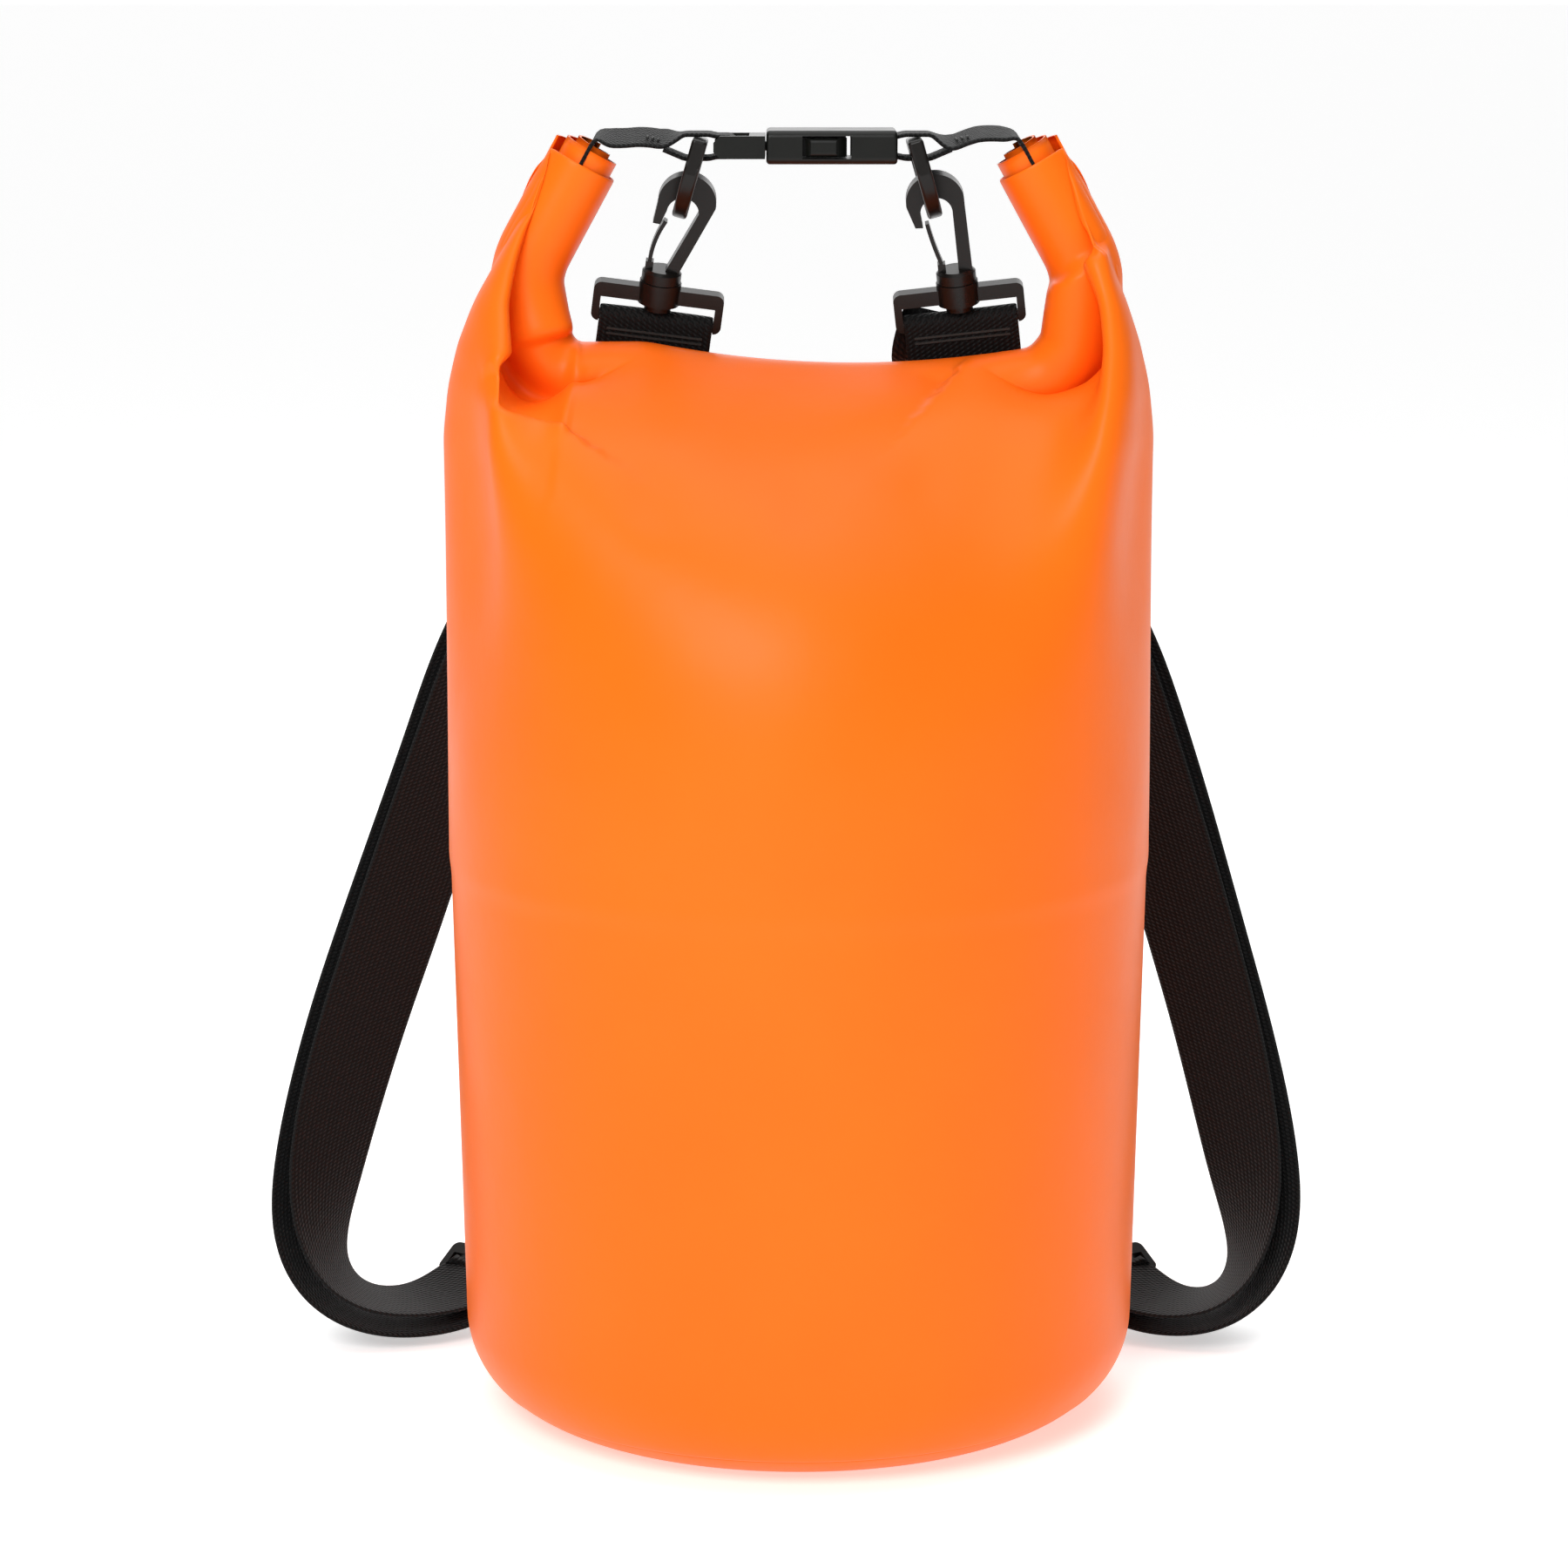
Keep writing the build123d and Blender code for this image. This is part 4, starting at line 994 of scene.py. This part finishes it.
def build_strap(side):
    """Inner layer from the upper frame to the lower one, and outer layer back to the slider."""
    body = f"strap_{side}"
    upper, lower = upper_frame(side), lower_frame(side)
    way_low = 1 if lower[3][2] > 0 else -1
    stations, widths = [], []
    for (x, y, z), angle in STATIONS:
        beyond = max(-x - BODY_R, 0)
        stations.append(mirrored((x + beyond * (1 - SPREAD[side]), y, z), side))
        turn = math.radians(angle)
        widths.append(mirrored((math.cos(turn), math.sin(turn), 0), side))
    stations, widths = np.array(stations), np.array(widths)
    bar_up = upper[0] + upper[2] * BAR_MIDDLE
    first = bar_up - upper[3] * FOLD_RADIUS
    last = lower[0] + lower[2] * BAR_MIDDLE + lower[3] * FOLD_RADIUS * way_low
    width_first, width_last = upper[1] * SIGN[side], lower[1]
    if width_last @ widths[-1] < 0:
        width_last = -width_last
    line = np.concatenate([[first], stations, [last]])
    width = np.concatenate([[width_first], widths, [width_last]])
    both = smooth_curve(np.concatenate([line, width * 40], 1), 2.0)
    line_s, width_s = both[:, :3], unit(both[:, 3:])
    line_s = resample(line_s, 2.0)
    width_s = spread_out(width_s, len(line_s))
    top_fold = fold(upper, 1)
    hem_start = bar_up + upper[3] * FOLD_RADIUS
    hem = np.array([hem_start - upper[2] * d for d in np.linspace(15, 1, 10)])
    low_fold = fold(lower, way_low)
    path = np.concatenate([hem, top_fold[:-1], line_s, low_fold[1:]])
    wide = np.concatenate(
        [
            np.tile(width_first, (len(hem) + len(top_fold) - 1, 1)),
            width_s,
            np.tile(width_last, (len(low_fold) - 1, 1)),
        ]
    )
    replaced = f"strap_webbing_{side}"
    webbing_piece(f"strap_inner_{side}", path, wide, STRAP_WIDTH, body, replaced, wave=0.25)
    tangent = unit(np.gradient(line_s, axis=0))
    out = np.cross(width_s, tangent) * SIGN[side]
    slider_at = int(np.argmin(np.linalg.norm(line_s - stations[SLIDER_STATION], axis=1)))
    outer = line_s[slider_at:] + out[slider_at:] * LAYER_GAP
    outer[0] = line_s[slider_at] + out[slider_at] * SLIDER_RISE
    end = lower[0] + lower[2] * BAR_MIDDLE - lower[3] * FOLD_RADIUS * way_low
    fade = smoothstep(np.linspace(0, 1, len(outer)), 0.93, 1.0)[:, None]
    outer = outer * (1 - fade) + (outer + (end - outer[-1])) * fade
    outer = np.concatenate([outer[:1], smooth_curve(outer[1:], 2.0, 1)])
    wide_out = spread_out(width_s[slider_at:], len(outer))
    replaced = f"strap_return_{side}"
    webbing_piece(f"strap_outer_{side}", outer, wide_out, STRAP_WIDTH, body, replaced, -0.3, 1.0)


for side in ("left", "right"):
    build_closure(side)
    build_strap(side)


# radius and angle of the lower ring's bar, and of the sewn end of the loop that holds it
LOOP_BAR = (121.0, 127.7)
LOOP_END = (118.6, 116.0)
LAYER_OFFSET = 0.84
PATCH_GAP = 1.0
PATCH_RIM = 0.25
PATCH_EDGE = -0.7
CORNER_CUT = 0.16


def round_point(reach, angle, height):
    """A point at a radius, an angle in degrees round the bag, and a height."""
    turn = math.radians(angle)
    return np.array([reach * math.cos(turn), reach * math.sin(turn), height])


def build_tab(side):
    """Short webbing folded round the lower D-ring's bar and sewn to its patch."""
    centre = mirrored(round_point(*LOOP_BAR, LOWER_EYE[2]), side)
    end = mirrored(round_point(*LOOP_END, LOWER_EYE[2]), side)
    away = unit(centre - end)
    sideways = np.array([-away[1], away[0], 0.0])
    rise = 2.5 + 1.0 + WEB / 2

    def at(base, forward, aside):
        return base + away * forward + sideways * aside

    points = [
        at(end, 0, LAYER_OFFSET),
        at(centre, -2 * rise, rise),
        at(centre, rise, rise),
        at(centre, rise, -rise),
        at(centre, -2 * rise, -rise),
        at(end, 0, -LAYER_OFFSET),
    ]
    line = rounded(points, [rise, rise * 0.9, rise * 0.9, rise], 1.0)
    across = np.tile([0.0, 0.0, 1.0], (len(line), 1))
    webbing_piece(f"lower_loop_{side}", line, across, CLOSURE_WIDTH, "bag", f"lower_tab_{side}")


def build_patch(side):
    """Welded patch behind the lower loop, with a rounded outline and a raised weld rim."""
    start, end, low, high = 99.0, 122.0, 20.0, 62.0
    columns, rows = 25, 23
    verts = []
    for i in range(rows):
        v = -1 + 2 * i / (rows - 1)
        for j in range(columns):
            u = -1 + 2 * j / (columns - 1)
            corner = math.sqrt(max(0.0, 1 - CORNER_CUT * v**8))
            corner_v = math.sqrt(max(0.0, 1 - CORNER_CUT * u**8))
            angle = (start + end) / 2 + (end - start) / 2 * u * corner
            z = (low + high) / 2 + (high - low) / 2 * v * corner_v
            rim = PATCH_RIM if max(abs(u), abs(v)) > 0.78 else 0.0
            edge = PATCH_EDGE if max(abs(u), abs(v)) > 0.99 else 0.0
            wall = wall_radius(max(z, BASE_CORNER))
            if z < BASE_CORNER:
                wall = BASE_R - BASE_CORNER + math.sqrt(BASE_CORNER**2 - (BASE_CORNER - z) ** 2)
            reach = wall + PATCH_GAP + rim + edge
            verts.append(mirrored(round_point(reach, angle, z), side))
    faces = grid_faces(rows, columns)
    if side == "left":
        faces = [tuple(reversed(f)) for f in faces]
    verts = np.array(verts) * MM
    patch = make_object(f"weld_patch_{side}", verts, faces, ORANGE, "bag")
    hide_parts(f"lower_patch_{side}")
    solid = patch.modifiers.new("thickness", "SOLIDIFY")
    solid.thickness = 0.0006
    solid.offset = -1


for side in ("left", "right"):
    build_tab(side)
    build_patch(side)


# --- carried-over CAD pieces ----------------------------------------------------------------


def dress(names, material, soften=0.0):
    """Gives CAD nodes their material and, where they are moulded, edges soft by some mm."""
    for name in names:
        obj = NODES[name]
        obj.data.materials.clear()
        obj.data.materials.append(material)
        if soften:
            edges = obj.modifiers.new("soft_edges", "BEVEL")
            edges.width = soften * MM
            edges.segments = 3
            edges.limit_method = "ANGLE"
            edges.angle_limit = math.radians(40)


dress(["buckle_socket", "buckle_plug"], BUCKLE, 0.8)
dress(["buckle_latch_front", "buckle_latch_back"], BUCKLE, 1.0)
for side in ("left", "right"):
    dress([f"top_d_ring_{side}", f"lower_d_ring_{side}", f"slider_{side}"], HOOK, 0.3)
    for level in ("upper", "lower"):
        dress([f"{level}_hook{part}_{side}" for part in ("", "_frame", "_gate")], HOOK, 0.5)
    dress([f"closure_stitching_{side}", f"strap_stitching_{side}"], THREAD)


# --- camera, light and floor ------------------------------------------------------------------


FLOOR = 60.0


def area_light(name, place, target, size, power):
    light = bpy.data.lights.new(name, "AREA")
    light.shape = "RECTANGLE"
    light.size, light.size_y = size
    light.energy = power
    obj = bpy.data.objects.new(name, light)
    obj.location = place
    obj.rotation_euler = (Vector(target) - Vector(place)).to_track_quat("-Z", "Y").to_euler()
    bpy.context.scene.collection.objects.link(obj)


def set_stage():
    """Camera, a world with dimmer front and sides, a pale floor and four soft lights."""
    pitch = math.radians(10.5)
    distance = 1.5
    target = Vector((-0.005, 0.0, 0.213))
    camera = bpy.data.cameras.new("camera")
    camera.lens = 102.0
    camera.sensor_width = 36.0
    camera.clip_end = 50
    obj = bpy.data.objects.new("camera", camera)
    obj.location = target + Vector((0, -distance * math.cos(pitch), distance * math.sin(pitch)))
    obj.rotation_euler = (math.pi / 2 - pitch, 0, 0)
    bpy.context.scene.collection.objects.link(obj)
    bpy.context.scene.camera = obj

    world = bpy.data.worlds.new("studio")
    world.use_nodes = True
    tree = world.node_tree
    direction = node(tree, "ShaderNodeTexCoord").outputs["Generated"]
    parts = node(tree, "ShaderNodeSeparateXYZ")
    tree.links.new(direction, parts.inputs[0])
    centred = math_node(tree, "ADD", parts.outputs["X"], 0.08)
    spread = math_node(tree, "ABSOLUTE", centred)
    tone = ramp(tree, spread, [(0.30, (1, 1, 1)), (0.80, (0.05, 0.05, 0.05))])
    tree.links.new(tone, tree.nodes["Background"].inputs["Color"])
    level = node(tree, "ShaderNodeMapRange")
    level.inputs["From Min"].default_value = -0.3
    level.inputs["From Max"].default_value = 0.6
    level.inputs["To Min"].default_value = 0.42
    level.inputs["To Max"].default_value = 1.05
    tree.links.new(parts.outputs["Y"], level.inputs["Value"])
    tree.links.new(level.outputs["Result"], tree.nodes["Background"].inputs["Strength"])
    bpy.context.scene.world = world

    mesh = bpy.data.meshes.new("floor")
    corners = [(-FLOOR, -FLOOR, 0), (FLOOR, -FLOOR, 0), (FLOOR, FLOOR, 0), (-FLOOR, FLOOR, 0)]
    mesh.from_pydata(corners, [], [(0, 1, 2, 3)])
    floor = bpy.data.objects.new("floor", mesh)
    floor.location.z = -0.0005
    mat, _, shader = new_material("floor")
    shader.inputs["Base Color"].default_value = (0.97, 0.97, 0.97, 1)
    shader.inputs["Roughness"].default_value = 0.8
    shader.inputs["Emission Color"].default_value = (1, 1, 1, 1)
    shader.inputs["Emission Strength"].default_value = 0.5
    mesh.materials.append(mat)
    bpy.context.scene.collection.objects.link(floor)

    middle = (0, 0, 0.22)
    area_light("key", (-0.45, -1.5, 1.25), middle, (0.8, 0.8), 20)
    area_light("top", (0.1, -0.1, 1.7), middle, (1.2, 1.2), 9)
    area_light("fill", (1.4, -0.9, 0.7), middle, (1.0, 1.4), 1.5)
    area_light("back", (0.2, 1.6, 1.0), middle, (1.6, 1.0), 5)


set_stage()
bpy.context.scene.view_settings.view_transform = "Standard"
